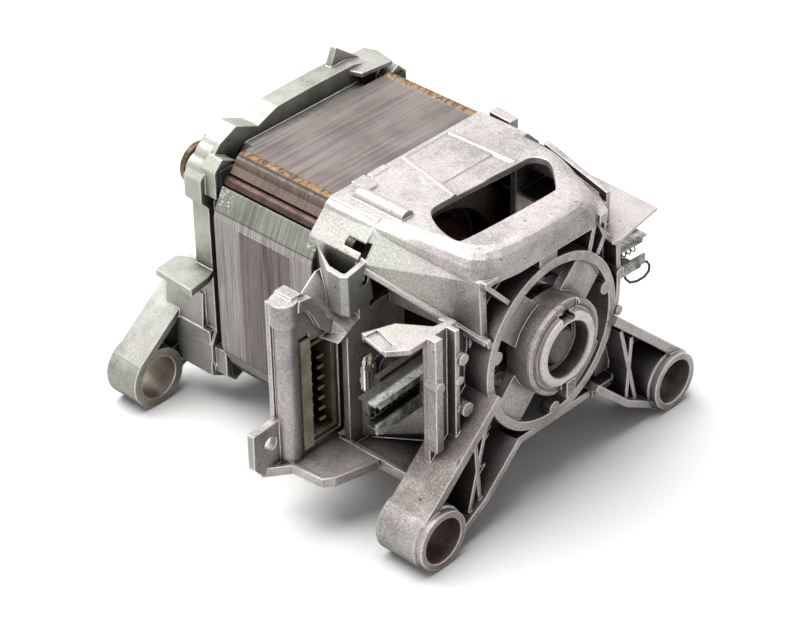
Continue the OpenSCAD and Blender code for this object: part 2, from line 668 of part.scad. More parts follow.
tray_plan = [[-41, frame_y + 7.4], [-30.5, frame_y - 1], [-29.3, frame_y - 17],
    [-25.2, frame_y - 20], [-6.5, frame_y - 24.8], [-3.5, frame_y - 22], [-3.5, frame_y + 6],
    [-22.5, frame_y + 7.4]];
module tray() translate([conn_x, 0, 0]) {
    slab_z(bay_floor - 1.2, bay_floor + 1.6) polygon(tray_plan);
    slab_z(bay_floor - 1.8, bay_floor + 2.4) stroke([[-40.5, frame_y + 6], [-30.1, frame_y - 1.6],
        [-28.9, frame_y - 16.4], [-25, frame_y - 19.4], [-6.5, frame_y - 24]], 1.6);
}

// Cast channel clip over the saddle, narrower at its foot than at its rim
clip_rim = [[-57.5, 70], [-66.8, 56], [-67.3, 48.5], [-65.5, 46], [-52.5, 48.2],
    [-50.3, 50.5], [-50.3, 70]];
clip_foot = [[-55.5, 70], [-64.6, 57], [-64.9, 50.5], [-63, 48.1], [-48, 50.2],
    [-45.7, 52.5], [-45.7, 70]];
clip_rim_in = [[-56.2, 72], [-64.3, 57], [-64.9, 49.5], [-64, 48.6], [-53.4, 50.6],
    [-52.7, 51.4], [-52.7, 72]];
clip_foot_in = [[-54.2, 72], [-62.2, 58], [-62.5, 51.5], [-61.6, 50.7], [-48.8, 52.6],
    [-48.1, 53.4], [-48.1, 72]];
module u_clip() {
    difference() {
        loft_z(clip_foot, 22, clip_rim, 42);
        loft_z(clip_foot_in, 24, clip_rim_in, 42.6);
        slab_z(26, 44) translate([-54, 56]) square([12, 16]);
        slab_y(44, 54) translate([-53.6, 33.6]) circle(r = 2.1);
    }
}

// Thin fin and post on the right side, over the right brush
module right_bay() {
    slab_z(28.8, 30) polygon([[34, -1], [38, -2], [65.5, 2], [67, 47], [54, 60], [38, 60], [36, 20]]);
    slab_y(8, 11) polygon([[36, 30], [36, -40], [50, -40], [50, -22], [46, -14], [46, 18], [62, 30]]);
    slab_y(collar_y, collar_y + cast_wall) polygon([[36, 42], [44, 46], [54, 36], [62, 30], [62, -40],
        [36, -40]]);
    slab_z(bay_floor - cast_wall, bay_floor)
        polygon([[30, 4], [42, 4], [62, 18], [62, collar_y + cast_wall], [30, collar_y + cast_wall]]);
    slab_y(9, 11.6) polygon([[36, 17], [42.6, 20], [42.6, 40], [36, 42]]);
    slab_z(20, 45) polygon([[42, 9], [44, 9], [57, collar_y + 1], [54, collar_y + 1]]);
}

module front_casting() {
    collar();
    hood();
    hood_terraces();
    hood_lugs();
    bolt_pads();
    chamfer_wall();
    front_face();
    ring();
    spokes();
    front_hub();
    for (sx = [0, 1]) mirror([sx, 0, 0]) front_leg();
    trough();
    bay_post();
    bay_shelf();
    bay_floor_plate();
    bay_rear_wall();
    bay_inner_wall();
    carrier_pillars();
    connector_frame();
    frame_ties();
    ear();
    tray();
    u_clip();
    right_bay();
}

module front_bracket() color(cast) place() difference() {
    front_casting();
    // seat of the stack, and the stepped bolt holes
    slab_y(stack_depth, stack_depth + lip_len + 1) polygon(stack_outline(0.1));
    bolt_places() {
        rod_y(0, 0, bolt_d / 2 + fit, stack_depth - 14, stack_depth + lip_len + 1);
        rod_y(0, 0, bolt_head_d / 2 + slip, collar_y - 2, stack_depth - 13);
    }
}

// Rear bracket

rear_half = half + 0.6;
pad_t = 1.6;
rim_outline = [[-rear_half, 30], [-rear_half - 3.6, 34], [-rear_half - 3.6, 44], [-46, 56.5],
    [-37, 60.5], [-32, 58.5], [-25, 55.5], [-14, 59.6], [6, 60.2], [30, 60.2], [36, 58.5],
    [46, 56.5], [rear_half + 3.6, 44], [rear_half + 3.6, 34], [rear_half, 30],
    [rear_half, -30], [rear_half + 3, -36], [rear_half + 3, -44], [44, -57], [34, -57],
    [28, -rear_half], [-28, -rear_half], [-34, -57], [-44, -57], [-rear_half - 3, -44],
    [-rear_half - 3, -36], [-rear_half, -30]];
module rear_shell() difference() {
    slab_y(rear_rim, rear_plate) polygon([for (i = [len(rim_outline) - 1 : -1 : 0]) rim_outline[i]]);
    slab_y(rear_rim - 1, rear_plate - cast_wall) polygon(octagon(half - 3, 16));
    for (a = [0 : 90 : 270]) rotate([0, a, 0]) slab_y(rear_plate - 5, rear_plate + 1) rear_vent();
    slab_y(rear_rim, rear_plate + 1) circle(d = rear_race_d + 7);
}

// Kidney-shaped vent between the rear spokes
module rear_vent() intersection() {
    difference() {
        circle(r = 44);
        circle(r = 26);
    }
    rotate(45) polygon([[0, 8], [8, 0], [60, 14], [60, 60], [14, 60]]);
}

module corner_bosses() difference() {
    for (sx = [-1, 1], sz = [-1, 1]) {
        rod_y(sx * bolt_x, sz * bolt_z, 6.4, rear_rim, rear_rim + 10.4);
        rod_y(sx * (bolt_x - 5), sz * (bolt_z + 4), 7.4, rear_rim + 2, rear_rim + 9.4);
        slab_y(stack_end + pad_t, rear_rim + 2) polygon([[sx * (bolt_x + 5.6), sz * (bolt_z - 7)],
            [sx * (bolt_x + 5.6), sz * (bolt_z + 5)], [sx * (bolt_x + 1), sz * (bolt_z + 9.4)],
            [sx * (bolt_x - 6), sz * (bolt_z + 6)], [sx * (bolt_x - 8), sz * (bolt_z - 2)],
            [sx * (bolt_x - 3.4), sz * (bolt_z - 8.6)]]);
    }
    slab_y(stack_end, rear_plate - cast_wall) polygon(octagon(half - 11.5, 14));
}

module raised_rim() difference() {
    slab_z(hood_z - 3, hood_z + 3) polygon([[-14, rear_rim + 3], [-10, rear_rim + 0.5],
        [28, rear_rim + 0.5], [30, rear_rim - 5], [46, rear_rim - 7], [48, rear_rim + 4],
        [46, rear_plate], [-14, rear_plate]]);
    slab_z(hood_z - 4, hood_z + 1) polygon([[-40, rear_rim - 12], [52, rear_rim - 12],
        [52, rear_rim + 6], [-40, rear_rim + 6]]);
}

module rear_hub() {
    seat = rear_race_d / 2 + fit;
    turned() polygon([[seat, rear_race_y - 1.6], [seat, rear_race_y + rear_race_w],
        [rear_shaft_d / 2 + 2, rear_race_y + rear_race_w],
        [rear_shaft_d / 2 + 2, rear_race_y + rear_race_w + 3],
        [seat + 1, rear_race_y + rear_race_w + 3], [seat + 4.5, rear_race_y + rear_race_w],
        [seat + 6, rear_plate], [seat + 6, rear_plate - cast_wall],
        [seat + 3, rear_plate - cast_wall], [seat + 3, rear_race_y - 1.6]]);
    for (a = [0 : 45 : 315]) rotate([0, a, 0]) slab_x(-1.5, 1.5)
        polygon([[rear_plate - 1, seat + 4], [rear_race_y + 4, seat + 3.4],
            [rear_plate + 2, half - 6], [rear_plate - 1, half - 4]]);
}

rear_leg_root = [[half - 10, -8], [half + 0.5, -14], [half + 1.6, -31]];
rear_leg_up = [[half - 6, -22], [half + 4, -28.6], [eye_x + 8.6, eye_z + 8.8]];
rear_leg_low = [[half - 3, -51], [half + 4, -53.6], [eye_x - 6, eye_z - eye_r + 3]];
rear_box = [[half - 12, -26], [half + 3.4, -29.4], [half + 3.4, -51], [half - 7, -56.4], [half - 14, -50]];
module rear_leg() difference() {
    union() {
        slab_y(rear_plate - 4, rear_eye_y + 8) stroke(rear_leg_root, leg_wall);
        slab_y(rear_eye_y, rear_eye_y + rear_eye_len - 1) stroke(rear_leg_up, leg_wall);
        slab_y(rear_eye_y, rear_eye_y + rear_eye_len - 1) stroke(rear_leg_low, leg_wall);
        slab_y(rear_rim + 1, rear_eye_y + 1.4) polygon(rear_box);
        slab_y(rear_eye_y + 8, rear_eye_y + 8 + leg_wall) polygon([[half - 10, -20],
            [half - 5, -23], [half + 5, -30], [eye_x + 7, eye_z + 8], [eye_x - 6, eye_z - eye_r + 2],
            [half + 4, -53], [half - 8, -54]]);
        rod_y(eye_x, eye_z, eye_r, rear_eye_y, rear_eye_y + rear_eye_len);
    }
    rod_y(eye_x, eye_z, rear_eye_bore / 2, rear_plate - 6, rear_eye_y + rear_eye_len + 1);
}

module rear_tabs() {
    slab_z(-2.6, 0.4) polygon([[-half - 15.3, rear_rim + 18], [-half - 16.5, rear_rim - 4.2],
        [-half - 4.6, rear_rim - 2.3], [-half + 2, rear_rim + 1], [-half + 2, rear_rim + 9],
        [-half - 2.7, rear_rim + 19.3]]);
    slab_y(rear_plate - 4.4, rear_plate - 1.4)
        polygon([[20, half + 2.3], [half - 9.7, half - 9.7], [half - 5.7, half - 2.2],
            [25.5, half + 14.3]]);
}

// Skirt inside the rim, which hides the end turns from the side
module rear_skirt() slab_y(stack_end + slip, rear_rim + 2) difference() {
    polygon(octagon(half - 2.6, 19));
    polygon(octagon(half - 4.6, 18.2));
}

module rear_bracket() color(cast) place() difference() {
    union() {
        rear_skirt();
        rear_shell();
        corner_bosses();
        raised_rim();
        rear_hub();
        for (sx = [0, 1]) mirror([sx, 0, 0]) rear_leg();
        rear_tabs();
    }
    bolt_places() rod_y(0, 0, bolt_d / 2 + fit, stack_end + 1, rear_rim + 8.7);
}

// Rotor

front_shaft_end = -0.8;
mid_shaft_d = 14;
module shaft() color(steel) place() turned() {
    r1 = front_shaft_d / 2;
    r2 = rear_shaft_d / 2;
    rm = max(mid_shaft_d, rear_shaft_d + 2) / 2;
    y1 = front_race_y + front_race_w + 0.8;
    y2 = rear_race_y - 0.6;
    y3 = belt_y + pulley_len / 2;
    polygon([[0, front_shaft_end], [r1 - 0.5, front_shaft_end], [r1, front_shaft_end + 0.5],
        [r1, y1], [rm, y1], [rm, y2], [r2, y2], [r2, y3 - 0.8], [r2 - 0.8, y3], [0, y3]]);
}

shaft_seat = max(mid_shaft_d, rear_shaft_d + 2) / 2 + fit;

module armature_slot() {
    polygon([[core_d / 2 - 14, -1.1], [core_d / 2 - 4, -2.1], [core_d / 2 - 1.4, -1.2],
        [core_d / 2 - 1.4, -0.8], [core_d / 2 + 1, -0.8], [core_d / 2 + 1, 0.8],
        [core_d / 2 - 1.4, 0.8], [core_d / 2 - 1.4, 1.2], [core_d / 2 - 4, 2.1],
        [core_d / 2 - 14, 1.1]]);
}
module armature_core() color(steel) place() slab_y(stack_depth, stack_end) difference() {
    circle(d = core_d);
    circle(r = shaft_seat);
    for (i = [0 : slot_count - 1]) rotate(i * 360 / slot_count) armature_slot();
}

winding_r = core_d / 2 - 2.4;
module armature_winding() color(copper) place() {
    turned() polygon([[shaft_seat + 5, stack_depth - spider_t - slip],
        [shaft_seat + 5, stack_depth - winding_reach], [winding_r - 6, stack_depth - winding_reach - 1],
        [winding_r, stack_depth - winding_reach + 5], [winding_r, stack_depth - spider_t - slip]]);
    turned() polygon([[shaft_seat + 5, stack_end + spider_t + slip],
        [winding_r, stack_end + spider_t + slip], [winding_r, stack_end + winding_reach - 6],
        [winding_r - 6, stack_end + winding_reach - 1], [shaft_seat + 5, stack_end + winding_reach - 2]]);
    for (i = [0 : slot_count - 1]) slab_y(stack_depth - spider_t - 1, stack_end + spider_t + 1)
        rotate(i * 360 / slot_count) polygon([[core_d / 2 - 13.4, -0.8], [core_d / 2 - 4, -1.7],
            [core_d / 2 - 2.2, -1.1], [core_d / 2 - 2.2, 1.1], [core_d / 2 - 4, 1.7],
            [core_d / 2 - 13.4, 0.8]]);
}

// Moulded star that insulates each end of the core, with a finger on every tooth
module end_spider(y) slab_y(y, y + spider_t) difference() {
    circle(r = core_d / 2 - 0.6);
    circle(r = shaft_seat);
    for (i = [0 : slot_count - 1]) rotate(i * 360 / slot_count)
        polygon([[core_d / 2 - 14.2, -1.3], [core_d / 2 - 4, -2.2], [core_d / 2 + 1, -1.6],
            [core_d / 2 + 1, 1.6], [core_d / 2 - 4, 2.2], [core_d / 2 - 14.2, 1.3]]);
}
module end_spider_front() color([0.2, 0.3, 0.25]) place() end_spider(stack_depth - spider_t);
module end_spider_rear() color([0.2, 0.3, 0.25]) place() end_spider(stack_end);

bar_t = 3.4;
module commutator_hub() color([0.3, 0.2, 0.14]) place()
    tube_y(comm_d / 2 - bar_t, shaft_seat, comm_y - 1, comm_end + 4);

riser_h = 2;
bar_gap = 0.7;
module commutator_bars() color([0.72, 0.42, 0.24]) place() difference() {
    turned() {
        inner = comm_d / 2 - bar_t + fit;
        polygon([[inner, comm_y], [comm_d / 2, comm_y], [comm_d / 2, comm_end],
            [comm_d / 2 + riser_h, comm_end], [comm_d / 2 + riser_h, comm_end + 3], [inner, comm_end + 3]]);
    }
    for (i = [0 : slot_count - 1]) rotate([0, (i + 0.5) * 360 / slot_count, 0])
        translate([-bar_gap / 2, comm_y - 1, 0]) cube([bar_gap, comm_len + 5, comm_d / 2 + riser_h + 1]);
}

// Bearings, drawn from their bore, outer diameter and width
ball_count = 8;
function race_mid(bore, od) = (bore + od) / 4;
function ball_size(bore, od) = (od - bore) / 7.2;
module outer_race(bore, od, w, y) {
    rb = ball_size(bore, od);
    difference() {
        tube_y(od / 2, race_mid(bore, od) + rb * 0.55, y, y + w);
        turned() translate([race_mid(bore, od), y + w / 2]) circle(r = rb + fit);
    }
}
module inner_race(bore, od, w, y) {
    rb = ball_size(bore, od);
    difference() {
        tube_y(race_mid(bore, od) - rb * 0.55, bore / 2 + fit, y, y + w);
        turned() translate([race_mid(bore, od), y + w / 2]) circle(r = rb + fit);
    }
}
module race_balls(bore, od, w, y) for (i = [0 : ball_count - 1])
    rotate([0, i * 360 / ball_count, 0]) translate([race_mid(bore, od), y + w / 2, 0])
        sphere(r = ball_size(bore, od), $fn = 32);

module front_bearing_outer() color("silver") place()
    outer_race(front_shaft_d, front_race_d, front_race_w, front_race_y);
module front_bearing_inner() color("silver") place()
    inner_race(front_shaft_d, front_race_d, front_race_w, front_race_y);
module front_bearing_balls() color("gray") place()
    race_balls(front_shaft_d, front_race_d, front_race_w, front_race_y);
module rear_bearing_outer() color("silver") place()
    outer_race(rear_shaft_d, rear_race_d, rear_race_w - slip, rear_race_y);
module rear_bearing_inner() color("silver") place()
    inner_race(rear_shaft_d, rear_race_d, rear_race_w - slip, rear_race_y);
module rear_bearing_balls() color("gray") place()
    race_balls(rear_shaft_d, rear_race_d, rear_race_w - slip, rear_race_y);

// Spring washer between the rear bearing and its seat
module bearing_wave_washer() color(steel) place()
    tube_y(rear_race_d / 2 - 0.2, rear_race_d / 2 - 3, rear_race_y + rear_race_w - slip,
        rear_race_y + rear_race_w);

module drive_pulley() color([0.35, 0.26, 0.2]) place() {
    r = pulley_d / 2;
    first = belt_y - rib_count * rib_pitch / 2;
    groove = 1.7;
    turned() polygon(concat(
        [[rear_shaft_d / 2 + fit, belt_y - pulley_len / 2], [r, belt_y - pulley_len / 2]],
        [for (i = [0 : rib_count - 1]) let (y = first + i * rib_pitch)
            each [[r, y + 0.2], [r - groove, y + rib_pitch / 2 - 0.15],
                [r - groove, y + rib_pitch / 2 + 0.15], [r, y + rib_pitch - 0.2]]],
        [[r, belt_y + pulley_len / 2], [rear_shaft_d / 2 + fit, belt_y + pulley_len / 2]]));
}

// Ring magnet of the speed sensor on the front end of the shaft
module tacho_magnet() color([0.4, 0.39, 0.38]) place() turned()
    polygon([[0, front_shaft_end - 3.6], [6.6, front_shaft_end - 3.6], [8, front_shaft_end - 2.2],
        [8, front_shaft_end - slip], [0, front_shaft_end - slip]]);

// Brush gear. It is drawn on the right, with x outward along the brush axis.

module brush_side(left) mirror([left ? 1 : 0, 0, 0]) rotate([0, brush_tilt, 0]) children();

carrier_in = sheath_in + 6;
carrier_out = sheath_out - 12;
screw_x = [carrier_in + 6, carrier_out - 15];
screw_z = -brush_h / 2 - slip - sheath_wall - 3.4;
screw_d = 2.8;
module brush_carrier() difference() {
    translate([carrier_in, carrier_y, screw_z - 3.2])
        cube([carrier_out - carrier_in, carrier_t, brush_h / 2 - screw_z + 6]);
    for (x = screw_x) rod_y(x, screw_z, screw_d / 2 + fit, carrier_y - 1, carrier_y + carrier_t + 1);
}

// Screws that hold a carrier on the pillars of the bracket
module carrier_screw_pair() for (x = screw_x) {
    rod_y(x, screw_z, screw_d / 2, carrier_y, carrier_y + carrier_t + 6);
    rod_y(x, screw_z, screw_d, carrier_y - 1.8, carrier_y);
}

module brush_holder() {
    y0 = brush_depth - brush_w / 2 - slip - sheath_wall;
    z0 = -brush_h / 2 - slip - sheath_wall;
    difference() {
        translate([sheath_in, y0, z0])
            cube([sheath_out - sheath_in, carrier_y - y0, -2 * z0]);
        translate([sheath_in - 1, y0 + sheath_wall, z0 + sheath_wall])
            cube([sheath_out - sheath_in, brush_w + 2 * slip, -2 * (z0 + sheath_wall)]);
        // window in the front face
        translate([window_in + 2, y0 - 1, z0 + 4.2])
            cube([sheath_out - window_in - 5, 3, -2 * (z0 + 4.2)]);
    }
    // folded loop at the window's inner end
    translate([window_in - 0.8, y0 - 1.6, z0 + 3]) cube([2.4, 2.2, -2 * (z0 + 3)]);
}

module carbon_brush() difference() {
    translate([brush_tip - 1, brush_depth - brush_w / 2, -brush_h / 2])
        cube([brush_len + 1, brush_w, brush_h]);
    rod_y(0, 0, brush_tip, brush_depth - brush_w, brush_depth + brush_w);
}

// Compression spring between the brush and the end of its sheath
spring_turns = 9;
spring_wire = 0.6;
module brush_spring() {
    x0 = brush_end + spring_wire / 2 + 0.1;
    x1 = sheath_out - sheath_wall - spring_wire / 2 - 0.1;
    r = brush_w / 2 - spring_wire / 2;
    steps = spring_turns * 8;
    echo(least_gap = (x1 - x0) / spring_turns - spring_wire);
    echo(room_to_push_back = x1 - x0 - spring_turns * spring_wire, needed = brush_travel);
    swept([for (i = [0 : steps]) [x0 + (x1 - x0) * i / steps,
        brush_depth + r * cos(i * 45), r * sin(i * 45)]], spring_wire / 2, 6);
}

module brush_holder_left() color([0.6, 0.59, 0.58]) place() brush_side(true) brush_holder();
module brush_holder_right() color([0.6, 0.59, 0.58]) place() brush_side(false) brush_holder();
module brush_left() color(black) place() brush_side(true) carbon_brush();
module brush_right() color(black) place() brush_side(false) carbon_brush();
module brush_spring_left() color(steel) place() brush_side(true) brush_spring();
module brush_spring_right() color(steel) place() brush_side(false) brush_spring();
module brush_carrier_left() color([0.3, 0.25, 0.2]) place() brush_side(true) brush_carrier();
module brush_carrier_right() color([0.3, 0.25, 0.2]) place() brush_side(false) brush_carrier();

// Flexible leads, as points from the shaft axis and the ring face
lead_d = 1.1;
lead_left = [[-60.5, 39.1, 4], [-58, 38, 6.2], [-54.5, 36.8, 6.8], [-51, 35.6, 5.2],
    [-48.5, 34.6, 1.5], [-48, 33.8, -2.5], [-50, 33, -6], [-53.5, 32.2, -8.4], [-57, 31.25, -9]];
lead_right = [[74, 19.65, -9.5], [78, 19.3, -10.2], [81.4, 19, -11], [82.8, 18.6, -13.4],
    [82.2, 18.4, -15.8], [79.4, 18.4, -17.4], [75, 18.8, -17.6], [71, 19.2, -16.4],
    [68.5, 19.6, -13.5], [67.5, 19.65, -9.6]];
module brush_lead_left() color(black) place() swept(lead_left, lead_d / 2, 8);
module brush_lead_right() color(black) place() swept(lead_right, lead_d / 2, 8);

// Moulded insert of the connector with a row of contact chambers
insert_x = conn_x - 17.9;
insert_w = 15.7;
insert_z = -37;
insert_h = 46;
module terminal_block() color([0.86, 0.83, 0.72]) place() difference() {
    union() {
        slab_y(frame_y + 1.4, frame_y + frame_len + 5)
            translate([insert_x + slip, insert_z + slip])
                square([insert_w - 2 * slip, insert_h - 2 * slip]);
        slab_y(frame_y - 0.8, frame_y + 2.6) translate([insert_x - 4.7, -37.7]) square([5.2, 50.8]);
    }
    slab_y(frame_y, frame_y + frame_len + 3.4)
        translate([insert_x + 2.2, insert_z + 2]) square([insert_w - 4.4, insert_h - 4]);
    contact_row(0.06, frame_y + frame_len + 3, frame_y + frame_len + 6, 0);
}

// Two staggered rows of contact tongues, or the slots for them
module contact_row(grow, y0, y1, back) for (i = [0 : contact_count - 1])
    translate([0, 0, -31.6 + i * contact_pitch]) {
        slab_y(y0, y1) translate([insert_x + 7.9 - grow, -0.4 - grow])
            square([3.2 + 2 * grow, 0.8 + 2 * grow]);
        slab_y(y0 + back, y1) translate([insert_x + 5.2 - grow, 1.8 - grow])
            square([1.2 + 2 * grow, 1.2 + 2 * grow]);
    }
module terminal_contacts() color([0.85, 0.68, 0.3]) place()
    contact_row(0, frame_y + 3, frame_y + frame_len + 5, 2);

// Blade terminal that stands on the carrier beside the brush
spade_reach = 9.4;
spade_y = carrier_y + carrier_t + spade_reach;
module spade_terminal() color([0.7, 0.69, 0.66]) place() translate([-62, spade_y, 0]) difference() {
    union() {
        slab_y(-0.4, 0.4) polygon([[-3, -12], [3, -12], [3, 5], [1.8, 7], [-1.8, 7], [-3, 5]]);
        slab_x(-3, 3) polygon([[-spade_reach, -12], [0.4, -12], [0.4, -11.2], [-spade_reach, -11.2]]);
    }
    slab_y(-1, 1) translate([0, 2]) circle(r = 0.9);
}

module carrier_screws() color(steel) place() for (left = [true, false])
    brush_side(left) carrier_screw_pair();

front_bracket();
rear_bracket();
stator_core();
through_bolts();
corner_spacers();
field_coil_upper();
field_coil_lower();
coil_insulator_front();
coil_insulator_rear();
shaft();
armature_core();
armature_winding();
end_spider_front();
end_spider_rear();
commutator_hub();
commutator_bars();
front_bearing_outer();
front_bearing_inner();
front_bearing_balls();
rear_bearing_outer();
rear_bearing_inner();
rear_bearing_balls();
bearing_wave_washer();
drive_pulley();
tacho_magnet();
brush_carrier_left();
brush_carrier_right();
brush_holder_left();
brush_holder_right();
brush_left();
brush_right();
brush_spring_left();
brush_spring_right();
brush_lead_left();
brush_lead_right();
terminal_block();
terminal_contacts();
spade_terminal();
carrier_screws();
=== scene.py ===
import math

import bmesh
import bpy
from mathutils import Matrix, Vector


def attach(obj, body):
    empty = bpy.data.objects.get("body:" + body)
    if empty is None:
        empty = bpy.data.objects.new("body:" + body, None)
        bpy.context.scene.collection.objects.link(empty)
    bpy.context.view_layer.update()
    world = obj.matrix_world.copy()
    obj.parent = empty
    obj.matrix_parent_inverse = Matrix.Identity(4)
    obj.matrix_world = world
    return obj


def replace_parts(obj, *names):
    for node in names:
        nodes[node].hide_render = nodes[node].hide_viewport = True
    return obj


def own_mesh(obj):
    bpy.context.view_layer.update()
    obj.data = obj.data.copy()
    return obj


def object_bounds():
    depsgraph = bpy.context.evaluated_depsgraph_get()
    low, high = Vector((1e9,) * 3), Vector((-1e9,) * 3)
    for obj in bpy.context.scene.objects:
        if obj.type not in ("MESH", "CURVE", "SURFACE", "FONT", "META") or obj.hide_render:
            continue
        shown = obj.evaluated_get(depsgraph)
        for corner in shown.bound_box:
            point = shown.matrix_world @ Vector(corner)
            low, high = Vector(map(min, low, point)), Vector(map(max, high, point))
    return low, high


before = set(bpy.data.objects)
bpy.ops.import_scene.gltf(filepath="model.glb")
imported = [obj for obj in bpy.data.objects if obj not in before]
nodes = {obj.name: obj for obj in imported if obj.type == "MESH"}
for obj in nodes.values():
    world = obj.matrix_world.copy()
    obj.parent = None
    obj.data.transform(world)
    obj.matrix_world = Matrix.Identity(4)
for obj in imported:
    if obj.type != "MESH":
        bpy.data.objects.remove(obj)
cadBox = [list(corner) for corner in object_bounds()]
print("frame loaded:", len(nodes), "nodes")

mm = 0.001
beltDepth = 192.5  # depth of the belt track behind the front ring's face, in mm


def spot(x, y, z):
    # from the motor's own measures: right of the shaft, behind the ring's face, above the shaft
    return Vector((x * mm, (y - beltDepth) * mm, z * mm))


def tone(red, green, blue):
    # a colour as it is seen, 0 to 255, to the light values that shaders use
    def linear(value):
        value = value / 255
        return value / 12.92 if value <= 0.04045 else ((value + 0.055) / 1.055) ** 2.4
    return (linear(red), linear(green), linear(blue), 1.0)


class Signal:
    # a shader socket that sums and products can be written with
    def __init__(self, tree, socket):
        self.tree = tree
        self.socket = socket

    def maths(self, operation, *values):
        node = self.tree.nodes.new("ShaderNodeMath")
        node.operation = operation
        for place, value in enumerate(values):
            plug(self.tree, node.inputs[place], value)
        return Signal(self.tree, node.outputs[0])

    def __add__(self, other): return self.maths("ADD", self, other)
    def __radd__(self, other): return self.maths("ADD", other, self)
    def __sub__(self, other): return self.maths("SUBTRACT", self, other)
    def __rsub__(self, other): return self.maths("SUBTRACT", other, self)
    def __mul__(self, other): return self.maths("MULTIPLY", self, other)
    def __rmul__(self, other): return self.maths("MULTIPLY", other, self)
    def __pow__(self, other): return self.maths("POWER", self, other)
    def __abs__(self): return self.maths("ABSOLUTE", self)
    def least(self, other): return self.maths("MINIMUM", self, other)
    def most(self, other): return self.maths("MAXIMUM", self, other)
    def wave(self): return self.maths("SINE", self)


def plug(tree, socket, value):
    if isinstance(value, Signal):
        tree.links.new(value.socket, socket)
    else:
        socket.default_value = value


class Graph:
    # a node tree that is written out method by method
    def __init__(self, tree):
        self.tree = tree
        tree.nodes.clear()

    def add(self, kind, settings=None, output=0, **sockets):
        node = self.tree.nodes.new("ShaderNode" + kind)
        for name, value in (settings or {}).items():
            setattr(node, name, value)
        for name, value in sockets.items():
            place = int(name[1:]) if name[0] == "i" and name[1:].isdigit() else name.replace("_", " ")
            plug(self.tree, node.inputs[place], value)
        return Signal(self.tree, node.outputs[output])

    def parts(self, vector):
        split = self.add("SeparateXYZ", Vector=vector)
        return [Signal(self.tree, split.socket.node.outputs[i]) for i in range(3)]

    def step(self, value, low, high, first=0.0, last=1.0):
        return self.add("MapRange", {"interpolation_type": "SMOOTHSTEP"}, Value=value,
                        From_Min=low, From_Max=high, To_Min=first, To_Max=last)

    def band(self, value, low, high, soft):
        return self.step(value, low - soft, low + soft) * self.step(value, high - soft, high + soft, 1.0, 0.0)

    def mix(self, first, second, share):
        node = self.add("Mix", {"data_type": "RGBA"}, i0=share, i6=first, i7=second)
        return Signal(self.tree, node.socket.node.outputs[2])

    def layers(self, colour, *coats):
        # each coat is a colour and the share in which it lies over what is below it
        for coat, share in coats:
            colour = self.mix(colour, coat, share)
        return colour

    def seen(self):
        # 1 for the eye, in reflections and through glass, 0 for light that bounces off a surface
        camera, glossy, through = [self.add("LightPath", output="Is " + kind + " Ray")
                                   for kind in ("Camera", "Glossy", "Transmission")]
        return camera.most(glossy).most(through)


# what counts as an edge for the painted highlights, and how finely edges are sampled
edgeTest = {"samples": 4, "from": 0.02, "to": 0.2}


class Finish(Graph):
    # one material, built on the piece's own coordinates
    def __init__(self, name):
        self.material = bpy.data.materials.new(name)
        self.material.use_nodes = True
        super().__init__(self.material.node_tree)
        self.place = self.add("TexCoord", output="Object")
        self.x, self.y, self.z = self.parts(self.place)
        self.behind = self.y + beltDepth * mm

    def noise(self, scale, detail=3.0, roughness=0.55, stretch=(1, 1, 1), shift=(0, 0, 0)):
        placed = self.add("Mapping", Vector=self.place, Scale=stretch, Location=shift)
        return self.add("TexNoise", Vector=placed, Scale=scale, Detail=detail, Roughness=roughness)

    def shade(self, distance, samples=6):
        return self.add("AmbientOcclusion", {"samples": samples}, output="AO", Distance=distance)

    def soft(self, radius):
        return self.add("Bevel", {"samples": edgeTest["samples"]}, Radius=radius)

    def edges(self, rounded):
        flat = self.add("NewGeometry", output="True Normal")
        dot = self.add("VectorMath", {"operation": "DOT_PRODUCT"}, output="Value", i0=rounded, i1=flat)
        return self.step(1 - dot, edgeTest["from"], edgeTest["to"])

    def near(self, place, reach):
        # 1 at a place on the motor, falling to 0 at the reach
        away = self.add("VectorMath", {"operation": "DISTANCE"}, output="Value",
                        i0=self.place, i1=tuple(place))
        return self.step(away, reach * 0.35 * mm, reach * mm, 1.0, 0.0)

    def around(self, marks):
        # the same for several places, each with its own reach
        share, *others = [self.near(spot(*place), reach) for place, reach in marks]
        for other in others:
            share = share.most(other)
        return share

    def bump(self, height, strength, distance, normal=None):
        node = self.add("Bump", Height=height, Strength=strength, Distance=distance)
        if normal:
            plug(self.tree, node.socket.node.inputs["Normal"], normal)
        return node

    def done(self, **sockets):
        surface = self.add("BsdfPrincipled", **sockets)
        output = self.tree.nodes.new("ShaderNodeOutputMaterial")
        self.tree.links.new(surface.socket, output.inputs["Surface"])
        return self.material


def dress(material, *names):
    for name in names:
        mesh = nodes[name].data
        mesh.materials.clear()
        mesh.materials.append(material)
